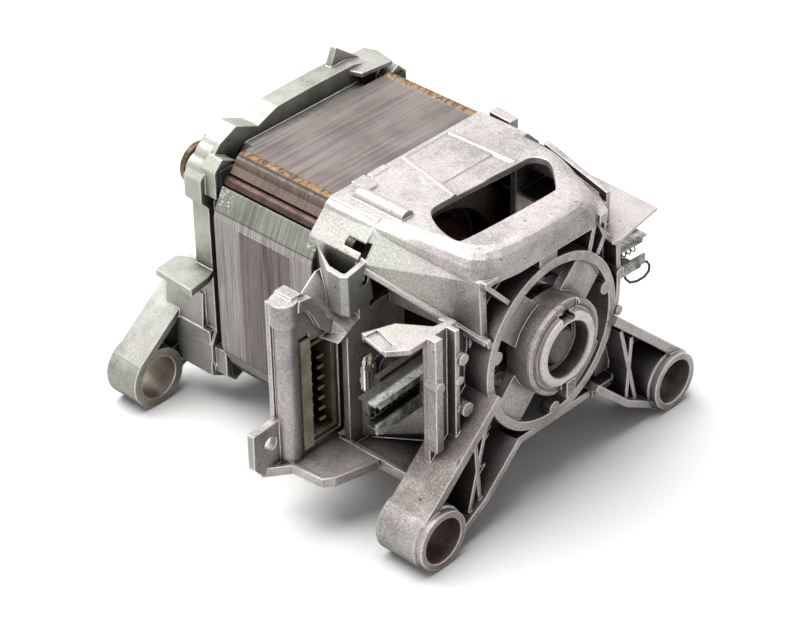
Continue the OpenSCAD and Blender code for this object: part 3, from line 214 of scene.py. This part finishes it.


# the two cast brackets: sandy die-cast aluminium, with a painted highlight along the edges and painted shade
# mixed with grime in the corners and pockets
castLook = {
    "bright": tone(204, 199, 197), "dull": tone(160, 155, 151), "pink": tone(198, 184, 184),
    "shadeAndGrime": tone(52, 42, 34), "pocket": tone(34, 28, 23), "stain": tone(108, 92, 76),
    "speck": tone(84, 77, 70), "spark": tone(236, 231, 229), "highlightAndBareMetal": tone(250, 243, 241),
    "green": tone(186, 192, 176), "tan": tone(150, 128, 100),
    "edge": 0.85 * mm, "grainHeight": 0.13 * mm, "metal": 0.45, "rough": 0.36, "grit": 1.0,
    "recessReach": 11 * mm, "creviceReach": 2.2 * mm, "pocketReach": 32 * mm,
    "eyeX": 70.5 * mm, "eyeZ": -53.9 * mm, "eyeInner": 9 * mm, "eyeOuter": 11.6 * mm,
    "hubInner": 17 * mm, "hubOuter": 25 * mm, "hubFront": 14 * mm, "hubBack": 18 * mm,
    "rimInner": 12.5 * mm, "rimOuter": 16.5 * mm, "rimFront": 4 * mm, "rimBack": 6 * mm,
    "greenPlaces": [((-52, 50, 42), 34), ((-58, 30, 30), 26), ((-60, 150, 40), 46)],
    "stainPlaces": [((-62, 6, -30), 40), ((-45, 4, -62), 34)]}


def castFinish(name, look, shadeAndGrimeShare):
    f = Finish(name)
    cloud = f.noise(24, 4)
    blotch = f.noise(90, 4, 0.62, shift=(3, 1, 2))
    grain = f.noise(2300, 2, 0.7)
    sand = f.noise(1100, 3, 0.75, shift=(4, 8, 1))
    pits = f.step(f.noise(380, 1.5, 0.5, shift=(7, 2, 5)), 0.72, 0.76)
    rounded = f.soft(look["edge"])
    # painted highlight: edges are lightened, and made more metallic and smoother, where the bevelled normal
    # turns from the face
    highlightAndBareMetal = f.edges(rounded)
    # painted shade mixed with grime: the recess, crevice and pocket masks darken the hollows where shade
    # falls
    recess = f.step(f.shade(look["recessReach"]), 0.2, 0.9, 1.0, 0.0)
    crevice = f.step(f.shade(look["creviceReach"], 4), 0.35, 0.85, 1.0, 0.0)
    pocket = f.step(f.shade(look["pocketReach"]), 0.18, 0.62, 1.0, 0.0)
    eye = ((abs(f.x) - look["eyeX"]) ** 2 + (f.z - look["eyeZ"]) ** 2) ** 0.5
    rim = f.band(eye, look["eyeInner"], look["eyeOuter"], 0.6 * mm) * f.step(blotch, 0.3, 0.6)
    axis = (f.x ** 2 + f.z ** 2) ** 0.5
    hub = (f.step(axis, look["hubInner"], look["hubOuter"], 1.0, 0.0)
           * f.step(f.behind, look["hubFront"], look["hubBack"], 1.0, 0.0))
    # machined rims on the hub, lightened further by a painted highlight
    turned = (f.band(axis, look["rimInner"], look["rimOuter"], 0.4 * mm)
              * f.step(f.behind, look["rimFront"], look["rimBack"], 1.0, 0.0))
    corner = f.around(look["greenPlaces"])
    post = f.around(look["stainPlaces"])
    colour = f.layers(
        f.mix(look["bright"], look["dull"], f.step(cloud * 0.5 + blotch * 0.5, 0.38, 0.64)),
        (look["pink"], f.step(cloud, 0.56, 0.42) * 0.35),
        (look["green"], corner * 0.55),
        (look["stain"], (hub * 0.6 + post * 0.55) * f.step(blotch, 0.2, 0.55)),
        (look["highlightAndBareMetal"], turned * f.step(blotch, 0.3, 0.55, 0.35, 0.8)),
        (look["tan"], rim * 0.7),
        (look["speck"], f.step(grain, 0.52, 0.66) * 0.5 * look["grit"]),
        (look["speck"], f.step(sand, 0.54, 0.7) * 0.45 * look["grit"]),
        (look["spark"], f.step(sand, 0.46, 0.34) * 0.5 * look["grit"]),
        (look["speck"], pits * 0.8),
        # painted shade with grime in recesses and crevices, and deeper painted shade in the pockets
        (look["shadeAndGrime"], (recess * (0.55 + blotch * 0.9) * shadeAndGrimeShare).least(1.0)),
        (look["shadeAndGrime"], crevice * 0.7),
        (look["pocket"], pocket * 0.85),
        # painted highlight along every edge
        (look["highlightAndBareMetal"], highlightAndBareMetal * f.step(blotch, 0.25, 0.5, 0.45, 0.95)))
    rough = look["rough"] + blotch * 0.16 + recess * 0.2 - highlightAndBareMetal * 0.12
    height = grain * 0.6 + sand * 0.5 + blotch * 0.5 - pits * 0.9
    return f.done(Base_Color=colour, Metallic=look["metal"] + highlightAndBareMetal * 0.5, Roughness=rough,
                  Normal=f.bump(height, 0.6, look["grainHeight"], rounded))


rearLook = dict(castLook, grit=0.45, bright=tone(182, 184, 174), dull=tone(138, 140, 130),
                pink=tone(176, 164, 162))
dress(castFinish("castAluminium", castLook, 0.85), "front_bracket")
dress(castFinish("castAluminiumRear", rearLook, 0.9), "rear_bracket")
print("brackets dressed")


# the welded stack: lamination lines across it, brown weld beads, dark and light bands on the sides
stackLook = {
    "top": tone(126, 118, 114), "topDark": tone(88, 79, 75), "topLight": tone(160, 153, 149),
    "bead": tone(150, 114, 74), "beadDark": tone(90, 64, 43), "beadEdge": tone(46, 34, 26),
    "sideLight": tone(176, 170, 165), "sideDark": tone(116, 108, 103), "sidePale": tone(206, 201, 197),
    "wornDark": tone(72, 62, 56), "strip": tone(142, 147, 136), "slope": tone(112, 97, 87),
    "slopeDark": tone(70, 55, 47), "spatter": tone(226, 220, 208), "rightBand": tone(104, 76, 60),
    "cornerShade": tone(44, 36, 32), "sheetPitch": 0.65 * mm,
    "topZ": 53.7 * mm, "beadX": 46 * mm, "beadHalf": 3.2 * mm, "sideX": 57.2 * mm, "stripX": 50.5 * mm,
    "sideTop": 33.5 * mm, "stripFrom": 34 * mm, "middle": 99 * mm,
    "topFront": 74 * mm, "topFadeEnd": 84 * mm, "rimShadowFront": 122 * mm, "rimShadowBack": 130 * mm,
    "wornFront": 85.2 * mm, "wornBack": 113.5 * mm, "wornTop": 30.6 * mm,
    "scratchLow": 30.2 * mm, "scratchHigh": 31.0 * mm}


def stackFinish():
    f = Finish("laminationStack")
    look = stackLook
    lines = f.noise(1, 2, 0.75, stretch=(7, 1700, 7))
    sheets = (f.y * (2 * math.pi / look["sheetPitch"])).wave()
    cloud = f.noise(38, 4, 0.6)
    grit = f.noise(620, 3, 0.7, shift=(1, 6, 2))
    streak = f.noise(1, 3, 0.65, stretch=(14, 480, 14), shift=(2, 4, 1))
    down = f.noise(1, 4, 0.8, stretch=(60, 1500, 22), shift=(5, 4, 1))
    broad = f.noise(1, 2, 0.6, stretch=(20, 300, 14), shift=(2, 9, 5))
    width, height = abs(f.x), abs(f.z)
    top = f.layers(
        f.mix(look["top"], look["topDark"], f.step(cloud * 0.6 + streak * 0.4, 0.4, 0.62) * 0.8),
        (look["topLight"], f.step(lines, 0.54, 0.72) * 0.5),
        (look["topDark"], f.step(lines, 0.46, 0.3) * 0.6),
        (look["topDark"], f.step(f.behind, look["topFadeEnd"], look["topFront"]) * 0.75),
        # painted shadow of the raised rear rim across the right part of the top
        (look["topDark"], f.band(f.behind, look["rimShadowFront"], look["rimShadowBack"], 2.5 * mm) * 0.5
         * f.step(f.x, -20 * mm, 30 * mm)))
    worn = (f.band(f.behind, look["wornFront"], look["wornBack"], 0.35 * mm)
            * f.step(f.z, look["wornTop"], look["wornTop"] - 0.6 * mm))
    scratch = (f.band(f.z, look["scratchLow"], look["scratchHigh"], 0.2 * mm)
               * f.band(f.behind, look["wornFront"] - 0.2 * mm, look["wornBack"] + 0.5 * mm, 1 * mm))
    side = f.layers(
        f.mix(look["sideLight"], look["sideDark"], worn * 0.9),
        (look["sideDark"], f.step(broad, 0.45, 0.65) * 0.4),
        (look["sideDark"], f.step(down, 0.48, 0.6) * 0.55),
        (look["wornDark"], f.step(down * 0.5 + broad * 0.5, 0.5, 0.6) * worn * 0.8),
        (look["sidePale"], f.step(down, 0.46, 0.36) * (0.6 - worn * 0.35)),
        (look["wornDark"], f.step(grit, 0.6, 0.68) * (0.3 + worn * 0.3)),
        (look["spatter"], scratch * f.step(down, 0.6, 0.4) * 0.8))
    onSide = (f.step(width, look["sideX"] - 0.2 * mm, look["sideX"])
              * f.step(height, look["stripFrom"], look["sideTop"]))
    onStrip = (f.step(width, look["stripX"], look["stripX"] + 0.5 * mm)
               * f.step(height, look["sideTop"], look["stripFrom"]))
    strip = f.layers(
        f.mix(look["strip"], look["topDark"], f.step(cloud, 0.42, 0.66) * 0.45),
        (look["topDark"], f.step(down, 0.48, 0.62) * 0.6),
        (look["sidePale"], f.step(down, 0.45, 0.35) * 0.4),
        (look["spatter"], f.step(grit, 0.44, 0.38)
         * f.step(abs(f.behind - look["middle"]), 19 * mm, 22 * mm)
         * f.step(height, look["stripFrom"] + 1 * mm, look["stripFrom"] + 3 * mm)),
        (look["wornDark"], f.band(height, 33.4 * mm, 34.4 * mm, 0.3 * mm) * 0.6))
    slope = f.mix(look["slope"], look["slopeDark"], f.step(down * 0.6 + cloud * 0.4, 0.45, 0.62))
    reach = abs(width - look["beadX"])
    flat = f.step(height, look["topZ"] - 0.5 * mm, look["topZ"] - 0.2 * mm)
    ripple = f.noise(1, 3, 0.65, stretch=(160, 700, 160), shift=(1, 1, 1))
    crown = f.step(height, look["topZ"] + 0.12 * mm, look["topZ"] + 0.4 * mm)
    bead = f.layers(
        f.mix(look["bead"], look["beadDark"], f.step(ripple, 0.42, 0.62)),
        (look["beadEdge"], f.step(grit * 0.5 + ripple * 0.5, 0.53, 0.66) * 0.85),
        (look["spatter"], f.step(grit, 0.42, 0.32) * 0.5))
    outside = (f.step(f.x, look["beadX"] + 1.8 * mm, look["beadX"] + 2.6 * mm)
               * f.step(f.z, 30 * mm, 36 * mm))
    scorched = f.step(reach + ripple * 1.5 * mm, look["beadHalf"], look["beadHalf"] + 1.4 * mm, 1.0, 0.0)
    colour = f.layers(
        top,
        (look["beadEdge"], scorched * flat * 0.85),
        (bead, crown),
        (slope, f.step(height, look["topZ"] - 1.3 * mm, look["topZ"] - 0.7 * mm, 1.0, 0.0)),
        (strip, onStrip),
        (side, onSide),
        (look["rightBand"], outside * 0.85),
        # painted shade in the corners and hollows of the stack
        (look["cornerShade"], f.step(f.shade(7 * mm), 0.15, 0.85, 0.75, 0.0)))
    rise = lines * 0.6 + sheets * 0.2 + ripple * crown * 2.0 + grit * 0.25
    return f.done(Base_Color=colour, Metallic=0.35, Roughness=0.45 + streak * 0.2 + down * 0.1,
                  Normal=f.bump(rise, 0.55, 0.1 * mm, f.soft(0.3 * mm)))


dress(stackFinish(), "stator_core")
print("stack dressed")


# the plainer nodes share a cloudy two-colour finish with painted shade in the corners
plainLook = {"cloud": 160, "grain": 900, "height": 0.04 * mm, "edge": 0.25 * mm,
             "cornerShade": tone(46, 36, 30), "cornerShadeShare": 0.4, "cornerShadeReach": 5 * mm}


def plainFinish(name, first, second, metallic, rough):
    f = Finish(name)
    cloud = f.noise(plainLook["cloud"], 4, 0.6)
    fine = f.noise(plainLook["grain"], 2, 0.6, shift=(2, 3, 1))
    # painted shade in the corners
    recess = f.step(f.shade(plainLook["cornerShadeReach"], 4), 0.25, 0.95, plainLook["cornerShadeShare"], 0.0)
    colour = f.mix(first, second, f.step(cloud * 0.7 + fine * 0.3, 0.38, 0.68))
    colour = f.mix(colour, plainLook["cornerShade"], recess)
    return f.done(Base_Color=colour, Metallic=metallic, Roughness=rough + cloud * 0.15,
                  Normal=f.bump(fine, 0.4, plainLook["height"], f.soft(plainLook["edge"])))


# for each finish its two colours, metal share and roughness
finishes = {
    "boltSteel": (tone(92, 74, 68), tone(62, 48, 42), 0.7, 0.35),
    "blackPlastic": (tone(38, 37, 38), tone(26, 25, 27), 0.0, 0.5),
    "enamelledWire": (tone(74, 50, 38), tone(44, 30, 24), 0.35, 0.3),
    "whitePlastic": (tone(150, 146, 134), tone(118, 112, 100), 0.0, 0.45),
    "groundSteel": (tone(176, 176, 178), tone(140, 139, 140), 0.95, 0.25),
    "springSteel": (tone(74, 68, 62), tone(50, 44, 40), 0.6, 0.4),
    "coreSteel": (tone(128, 120, 116), tone(92, 84, 80), 0.7, 0.45),
    "greenPlastic": (tone(74, 92, 82), tone(54, 70, 62), 0.0, 0.5),
    "brownResin": (tone(66, 52, 42), tone(42, 32, 26), 0.0, 0.45),
    "turnedCopper": (tone(128, 84, 60), tone(70, 44, 32), 0.8, 0.3),
    "bearingSteel": (tone(205, 206, 208), tone(178, 178, 180), 1.0, 0.18),
    "pulleySteel": (tone(118, 100, 74), tone(64, 46, 38), 0.8, 0.35),
    "ferrite": (tone(126, 122, 118), tone(94, 90, 88), 0.25, 0.5),
    "brushCarbon": (tone(58, 60, 72), tone(36, 36, 42), 0.1, 0.45),
    "leadRubber": (tone(40, 38, 34), tone(24, 23, 22), 0.0, 0.42),
}
wearers = {
    "boltSteel": ["through_bolts"],
    "blackPlastic": ["corner_spacers"],
    "enamelledWire": ["field_coil_upper", "field_coil_lower", "armature_winding"],
    "whitePlastic": ["coil_insulator_front", "coil_insulator_rear"],
    "groundSteel": ["shaft", "bearing_wave_washer", "carrier_screws"],
    "springSteel": ["brush_spring_left", "brush_spring_right"],
    "coreSteel": ["armature_core"],
    "greenPlastic": ["end_spider_front", "end_spider_rear"],
    "brownResin": ["commutator_hub", "brush_carrier_left", "brush_carrier_right"],
    "turnedCopper": ["commutator_bars"],
    "bearingSteel": ["front_bearing_outer", "front_bearing_inner", "front_bearing_balls",
                     "rear_bearing_outer", "rear_bearing_inner", "rear_bearing_balls"],
    "pulleySteel": ["drive_pulley"],
    "ferrite": ["tacho_magnet"],
    "brushCarbon": ["brush_left", "brush_right"],
    "leadRubber": ["brush_lead_left", "brush_lead_right"],
}
for finishName, wearing in wearers.items():
    dress(plainFinish(finishName, *finishes[finishName]), *wearing)
print("plainer nodes dressed")


# the socket: an ivory insert that is brown inside its mouth and darkened by painted shade in its hollows,
# with gold-tipped contacts
socketLook = {
    "ivory": tone(206, 204, 184), "old": tone(168, 158, 128), "inside": tone(58, 42, 27),
    "deep": tone(30, 21, 14), "gold": tone(255, 236, 190), "stem": tone(96, 62, 30),
    "mouth": 59.8 * mm, "mouthFade": 1.2 * mm, "bladeTip": 63.0 * mm, "pinTip": 65.0 * mm,
    "tipFade": 0.4 * mm, "pinX": -68.2 * mm}


def socketFinish():
    f = Finish("ivoryInsert")
    look = socketLook
    cloud = f.noise(120, 4, 0.6)
    inward = f.step(f.behind, look["mouth"], look["mouth"] + look["mouthFade"])
    clear = f.shade(5 * mm)
    colour = f.layers(
        f.mix(look["ivory"], look["old"], f.step(cloud, 0.4, 0.66)),
        # brown inside the mouth, with painted shade deepening it where the hollow closes in
        (look["inside"], inward * f.step(clear, 0.98, 0.7, 0.6, 1.0)),
        # painted shade in the deepest hollows
        (look["deep"], f.step(clear, 0.45, 0.15)))
    return f.done(Base_Color=colour, Roughness=0.4 + cloud * 0.2,
                  Normal=f.bump(cloud, 0.2, 0.05 * mm, f.soft(0.3 * mm)))


def contactFinish():
    f = Finish("contactMetal")
    look = socketLook
    # the left row are pins, whose tips stand deeper than those of the blades
    pin = f.step(f.x, look["pinX"], look["pinX"] - look["tipFade"])
    tip = f.step(f.behind - pin * (look["pinTip"] - look["bladeTip"]), look["bladeTip"],
                 look["bladeTip"] - look["tipFade"])
    stain = f.noise(800, 3, 0.6)
    colour = f.layers(f.mix(look["stem"], look["deep"], f.step(stain, 0.4, 0.6)), (look["gold"], tip))
    return f.done(Base_Color=colour, Metallic=0.5, Roughness=0.24 + stain * 0.2)


dress(socketFinish(), "terminal_block")
dress(contactFinish(), "terminal_contacts")
print("socket dressed")


# the brush gear: grainy zinc sheaths, and a tinned blade with a folded receptacle pushed onto it
gearLook = {
    "zinc": tone(176, 175, 168), "zincDark": tone(96, 94, 88), "fleckAndShade": tone(52, 50, 46),
    "paleFleckAndHighlight": tone(236, 234, 226), "tin": tone(226, 223, 212), "tinDark": tone(92, 84, 72),
    "burnt": tone(96, 58, 30), "burntEdgeAndShade": tone(36, 26, 18), "shelfShadow": tone(38, 34, 29),
    "shelfShadowFrom": 21.5 * mm, "shelfShadowFade": 2 * mm, "burntTop": -6.5 * mm, "burntLow": -8.5 * mm}


def sheathFinish():
    f = Finish("zincSheet")
    look = gearLook
    grain = f.noise(900, 3, 0.75)
    cloud = f.noise(150, 4, 0.6, shift=(4, 1, 7))
    rounded = f.soft(0.25 * mm)
    colour = f.layers(
        f.mix(look["zinc"], look["zincDark"], f.step(cloud, 0.4, 0.64)),
        (look["fleckAndShade"], f.step(grain, 0.52, 0.66) * 0.75),
        (look["paleFleckAndHighlight"], f.step(grain, 0.44, 0.32) * 0.6),
        # painted highlight along the edges of the sheath
        (look["paleFleckAndHighlight"], f.edges(rounded) * 0.7),
        # painted shade in the hollows of the sheath
        (look["fleckAndShade"], f.step(f.shade(4 * mm), 0.7, 0.2) * 0.85),
        # painted shadow of the shelf over the back of the sheath
        (look["shelfShadow"], f.step(f.behind, look["shelfShadowFrom"], look["shelfShadowFrom"] + look["shelfShadowFade"]) * 0.9))
    return f.done(Base_Color=colour, Metallic=0.45, Roughness=0.38 + cloud * 0.2,
                  Normal=f.bump(grain, 0.7, 0.08 * mm, rounded))


def tinFinish():
    f = Finish("tinnedSheet")
    look = gearLook
    grain = f.noise(700, 3, 0.7)
    scorch = f.mix(look["burnt"], look["burntEdgeAndShade"], f.step(grain, 0.4, 0.6))
    colour = f.layers(
        f.mix(look["tin"], look["tinDark"], f.step(grain, 0.55, 0.7) * 0.5),
        # painted shade in the creases of the blade and receptacle
        (look["burntEdgeAndShade"], f.step(f.shade(1.2 * mm), 0.6, 0.2) * 0.8),
        (scorch, f.step(f.z, look["burntTop"], look["burntLow"])))
    return f.done(Base_Color=colour, Metallic=0.8, Roughness=0.18 + grain * 0.2,
                  Normal=f.bump(grain, 0.4, 0.1 * mm, f.soft(0.2 * mm)))


# the receptacle: a back plate, two rolled edges, two tongues in front and crimp claws above, in mm
receptacle = {
    "place": (-62, 40.0), "width": 6.4, "depth": 2.2, "low": -8.0, "high": 2.6,
    "plate": 0.6, "plateSet": 0.35, "roll": 0.95, "rollSet": 0.3,
    "tongueWidth": 1.5, "tongueThick": 0.45, "tongueX": 1.0, "tongueSet": 1.1, "tongueShort": 1.2,
    "claws": [(-2.3, -0.6, 14), (-0.8, 0.7, -10), (0.9, -0.7, 12), (2.4, 0.5, -16)],
    "clawWidth": 1.0, "clawThick": 0.8, "clawTop": 6.6, "clawSink": 0.4}


def addBlock(shape, centre, size, turn=0.0):
    placed = Matrix.Translation(spot(*centre)) @ Matrix.Rotation(math.radians(turn), 4, "Y")
    grown = Matrix.Diagonal((size[0] * mm, size[1] * mm, size[2] * mm, 1))
    bmesh.ops.create_cube(shape, size=1.0, matrix=placed @ grown)


def addRod(shape, foot, length, radius):
    placed = Matrix.Translation(spot(foot[0], foot[1], foot[2] + length / 2))
    bmesh.ops.create_cone(shape, cap_ends=True, segments=20, radius1=radius * mm, radius2=radius * mm,
                          depth=length * mm, matrix=placed)


def addPiece(name, shape, material):
    mesh = bpy.data.meshes.new(name)
    shape.to_mesh(mesh)
    shape.free()
    mesh.materials.append(material)
    piece = bpy.data.objects.new(name, mesh)
    bpy.context.scene.collection.objects.link(piece)
    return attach(piece, "frame")


def makeReceptacle(look):
    x, y = look["place"]
    low, high = look["low"], look["high"]
    middle, tall = (high + low) / 2, high - low
    shape = bmesh.new()
    addBlock(shape, (x, y + look["depth"] / 2 - look["plateSet"], middle),
             (look["width"], look["plate"], tall))
    for side in (-1, 1):
        rollX = x + side * (look["width"] / 2 - look["roll"])
        addRod(shape, (rollX, y - look["rollSet"], low), tall, look["roll"])
        addBlock(shape, (x + side * look["tongueX"], y - look["tongueSet"], middle - look["tongueShort"] / 2),
                 (look["tongueWidth"], look["tongueThick"], tall - look["tongueShort"]))
    clawTall = look["clawTop"] - high
    for along, across, turn in look["claws"]:
        addBlock(shape, (x + along, y + across, high + clawTall / 2 - look["clawSink"]),
                 (look["clawWidth"], look["clawThick"], clawTall), turn)
    addPiece("bladeReceptacle", shape, tinFinish())


# round each brush a folded channel with a slot along its face, open at the outer end, in mm from the shaft
sheath = {
    "tilt": 3.0, "inner": 30.0, "outer": 80.0, "front": 18.6, "back": 27.7, "half": 7.55, "wall": 1.0,
    "upperLip": 3.0, "lowerLip": 5.6, "slotEnd": 53.2, "loopEnd": 55.0, "loopProud": 0.6,
    "notch": 2.4, "stopLong": 2.0, "stopBack": 3.0, "stopTall": 1.6}


def makeSheath(name, side, look, material):
    # drawn along x from the shaft, then turned down about the shaft's own direction
    shape = bmesh.new()
    inner, outer, notch = look["inner"], look["outer"], look["notch"]
    front, back, wall = look["front"], look["back"], look["wall"]
    top = look["half"]
    under, over = top - wall, wall - top
    lipUnder, lipOver = top - look["upperLip"], look["lowerLip"] - top

    def plate(x0, x1, y0, y1, z0, z1):
        addBlock(shape, ((x0 + x1) / 2, (y0 + y1) / 2, (z0 + z1) / 2), (x1 - x0, y1 - y0, z1 - z0))

    # top, bottom and back of the channel, each cut back further than the one before
    plate(inner, outer, front, back, under, top)
    plate(inner, outer - notch, front, back, -top, over)
    plate(inner, outer - notch * 2, back - wall, back, over, under)
    # the two lips of the face, and the stop that holds the spring
    plate(inner, outer - notch, front, front + wall, lipUnder, under)
    plate(inner, outer, front, front + wall, over, lipOver)
    plate(outer - notch - look["stopLong"], outer - notch, front + wall, front + look["stopBack"],
          under - look["stopTall"], under)
    # the closed part of the face, and the loop that ends the slot
    plate(inner, look["slotEnd"], front, front + wall, lipOver, lipUnder)
    plate(look["slotEnd"], look["loopEnd"], front - look["loopProud"], front + wall, over, under)
    turn = Matrix.Rotation(math.radians(look["tilt"]), 4, "Y")
    bmesh.ops.transform(shape, matrix=turn, verts=shape.verts)
    if side == "left":
        bmesh.ops.scale(shape, vec=(-1, 1, 1), verts=shape.verts)
        bmesh.ops.reverse_faces(shape, faces=shape.faces)
    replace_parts(addPiece(name, shape, material), "brush_holder_" + side)


# each spring is a copy of its node, with its points merged and its faces drawn flat, put in the node's place
spring = {"seat": 79.0 * mm, "tilt": 3.0, "keep": 0.76, "merge": 0.0001 * mm}


def makeSpring(name, side):
    node = nodes["brush_spring_" + side]
    shape = bmesh.new()
    shape.from_mesh(node.data)
    bmesh.ops.remove_doubles(shape, verts=shape.verts, dist=spring["merge"])
    for face in shape.faces:
        face.smooth = False
    piece = addPiece(name, shape, node.data.materials[0])
    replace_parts(piece, "brush_spring_" + side)
    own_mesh(piece)


makeSpring("squashedSpringLeft", "left")
makeSpring("squashedSpringRight", "right")
zinc = sheathFinish()
makeSheath("brushSheathLeft", "left", sheath, zinc)
makeSheath("brushSheathRight", "right", sheath, zinc)
dress(tinFinish(), "spade_terminal")
makeReceptacle(receptacle)
print("brush gear dressed")


# the studio: a white floor, a broad light above and a weaker one on the left
studio = {
    "floorSize": 8.0, "floorColour": tone(252, 252, 250), "floorBounce": tone(140, 140, 137),
    "aim": (0, -0.1, 0), "topPlace": (-0.12, 0.2, 1.15), "topSize": 1.5, "topPower": 27.0,
    "sidePlace": (-1.3, -0.2, 0.5), "sideSize": 0.7, "sidePower": 2.2,
    "sky": tone(150, 152, 154), "horizon": tone(84, 85, 86), "white": tone(255, 255, 255)}


def makeFloor():
    shape = bmesh.new()
    bmesh.ops.create_grid(shape, x_segments=1, y_segments=1, size=studio["floorSize"] / 2)
    bmesh.ops.translate(shape, verts=shape.verts, vec=(0, 0, cadBox[0][2]))
    mesh = bpy.data.meshes.new("floor")
    shape.to_mesh(mesh)
    shape.free()
    floor = bpy.data.objects.new("floor", mesh)
    bpy.context.scene.collection.objects.link(floor)
    # white to the eye and in reflections, greyer as a source of light from below
    f = Finish("floorPaper")
    colour = f.mix(studio["floorBounce"], studio["floorColour"], f.seen())
    mesh.materials.append(f.done(Base_Color=colour, Roughness=0.9, Specular_IOR_Level=0.0))


def areaLight(name, place, size, power):
    data = bpy.data.lights.new(name, "AREA")
    data.shape = "DISK"
    data.size = size
    data.energy = power
    lamp = bpy.data.objects.new(name, data)
    lamp.location = place
    lamp.rotation_euler = (Vector(studio["aim"]) - Vector(place)).to_track_quat("-Z", "Y").to_euler()
    bpy.context.scene.collection.objects.link(lamp)


def makeWorld():
    world = bpy.data.worlds.new("studioWorld")
    world.use_nodes = True
    g = Graph(world.node_tree)
    height = g.parts(g.add("TexCoord", output="Generated"))[2]
    glow = g.mix(studio["horizon"], studio["sky"], g.step(height, -0.05, 0.8))
    light = g.add("Background", Color=g.mix(glow, studio["white"], g.seen()), Strength=1.0)
    output = g.tree.nodes.new("ShaderNodeOutputWorld")
    g.tree.links.new(light.socket, output.inputs["Surface"])
    bpy.context.scene.world = world


makeFloor()
makeWorld()
areaLight("topLight", studio["topPlace"], studio["topSize"], studio["topPower"])
areaLight("sideLight", studio["sidePlace"], studio["sideSize"], studio["sidePower"])


# the camera that took the photograph, solved from straight edges of known direction
cameraSet = {"place": spot(-706, -600.6, 649.7), "azimuth": -45.905, "elevation": 34.364, "roll": -1.279,
             "focal": 2900.84, "imageWidth": 796, "sensor": 36.0}


def makeCamera():
    a, e, r = [math.radians(cameraSet[k]) for k in ("azimuth", "elevation", "roll")]
    back = Vector((math.sin(a) * math.cos(e), -math.cos(a) * math.cos(e), math.sin(e)))
    right = Vector((math.cos(a), math.sin(a), 0))
    up = back.cross(right)
    side = math.cos(r) * right + math.sin(r) * up
    rise = -math.sin(r) * right + math.cos(r) * up
    data = bpy.data.cameras.new("camera")
    data.sensor_width = cameraSet["sensor"]
    data.sensor_fit = "HORIZONTAL"
    data.lens = cameraSet["focal"] * cameraSet["sensor"] / cameraSet["imageWidth"]
    camera = bpy.data.objects.new("camera", data)
    turn = Matrix((side, rise, back)).transposed().to_4x4()
    camera.matrix_world = Matrix.Translation(cameraSet["place"]) @ turn
    bpy.context.scene.collection.objects.link(camera)
    bpy.context.scene.camera = camera


makeCamera()
bpy.context.scene.view_settings.view_transform = "Standard"
print("studio and camera set")
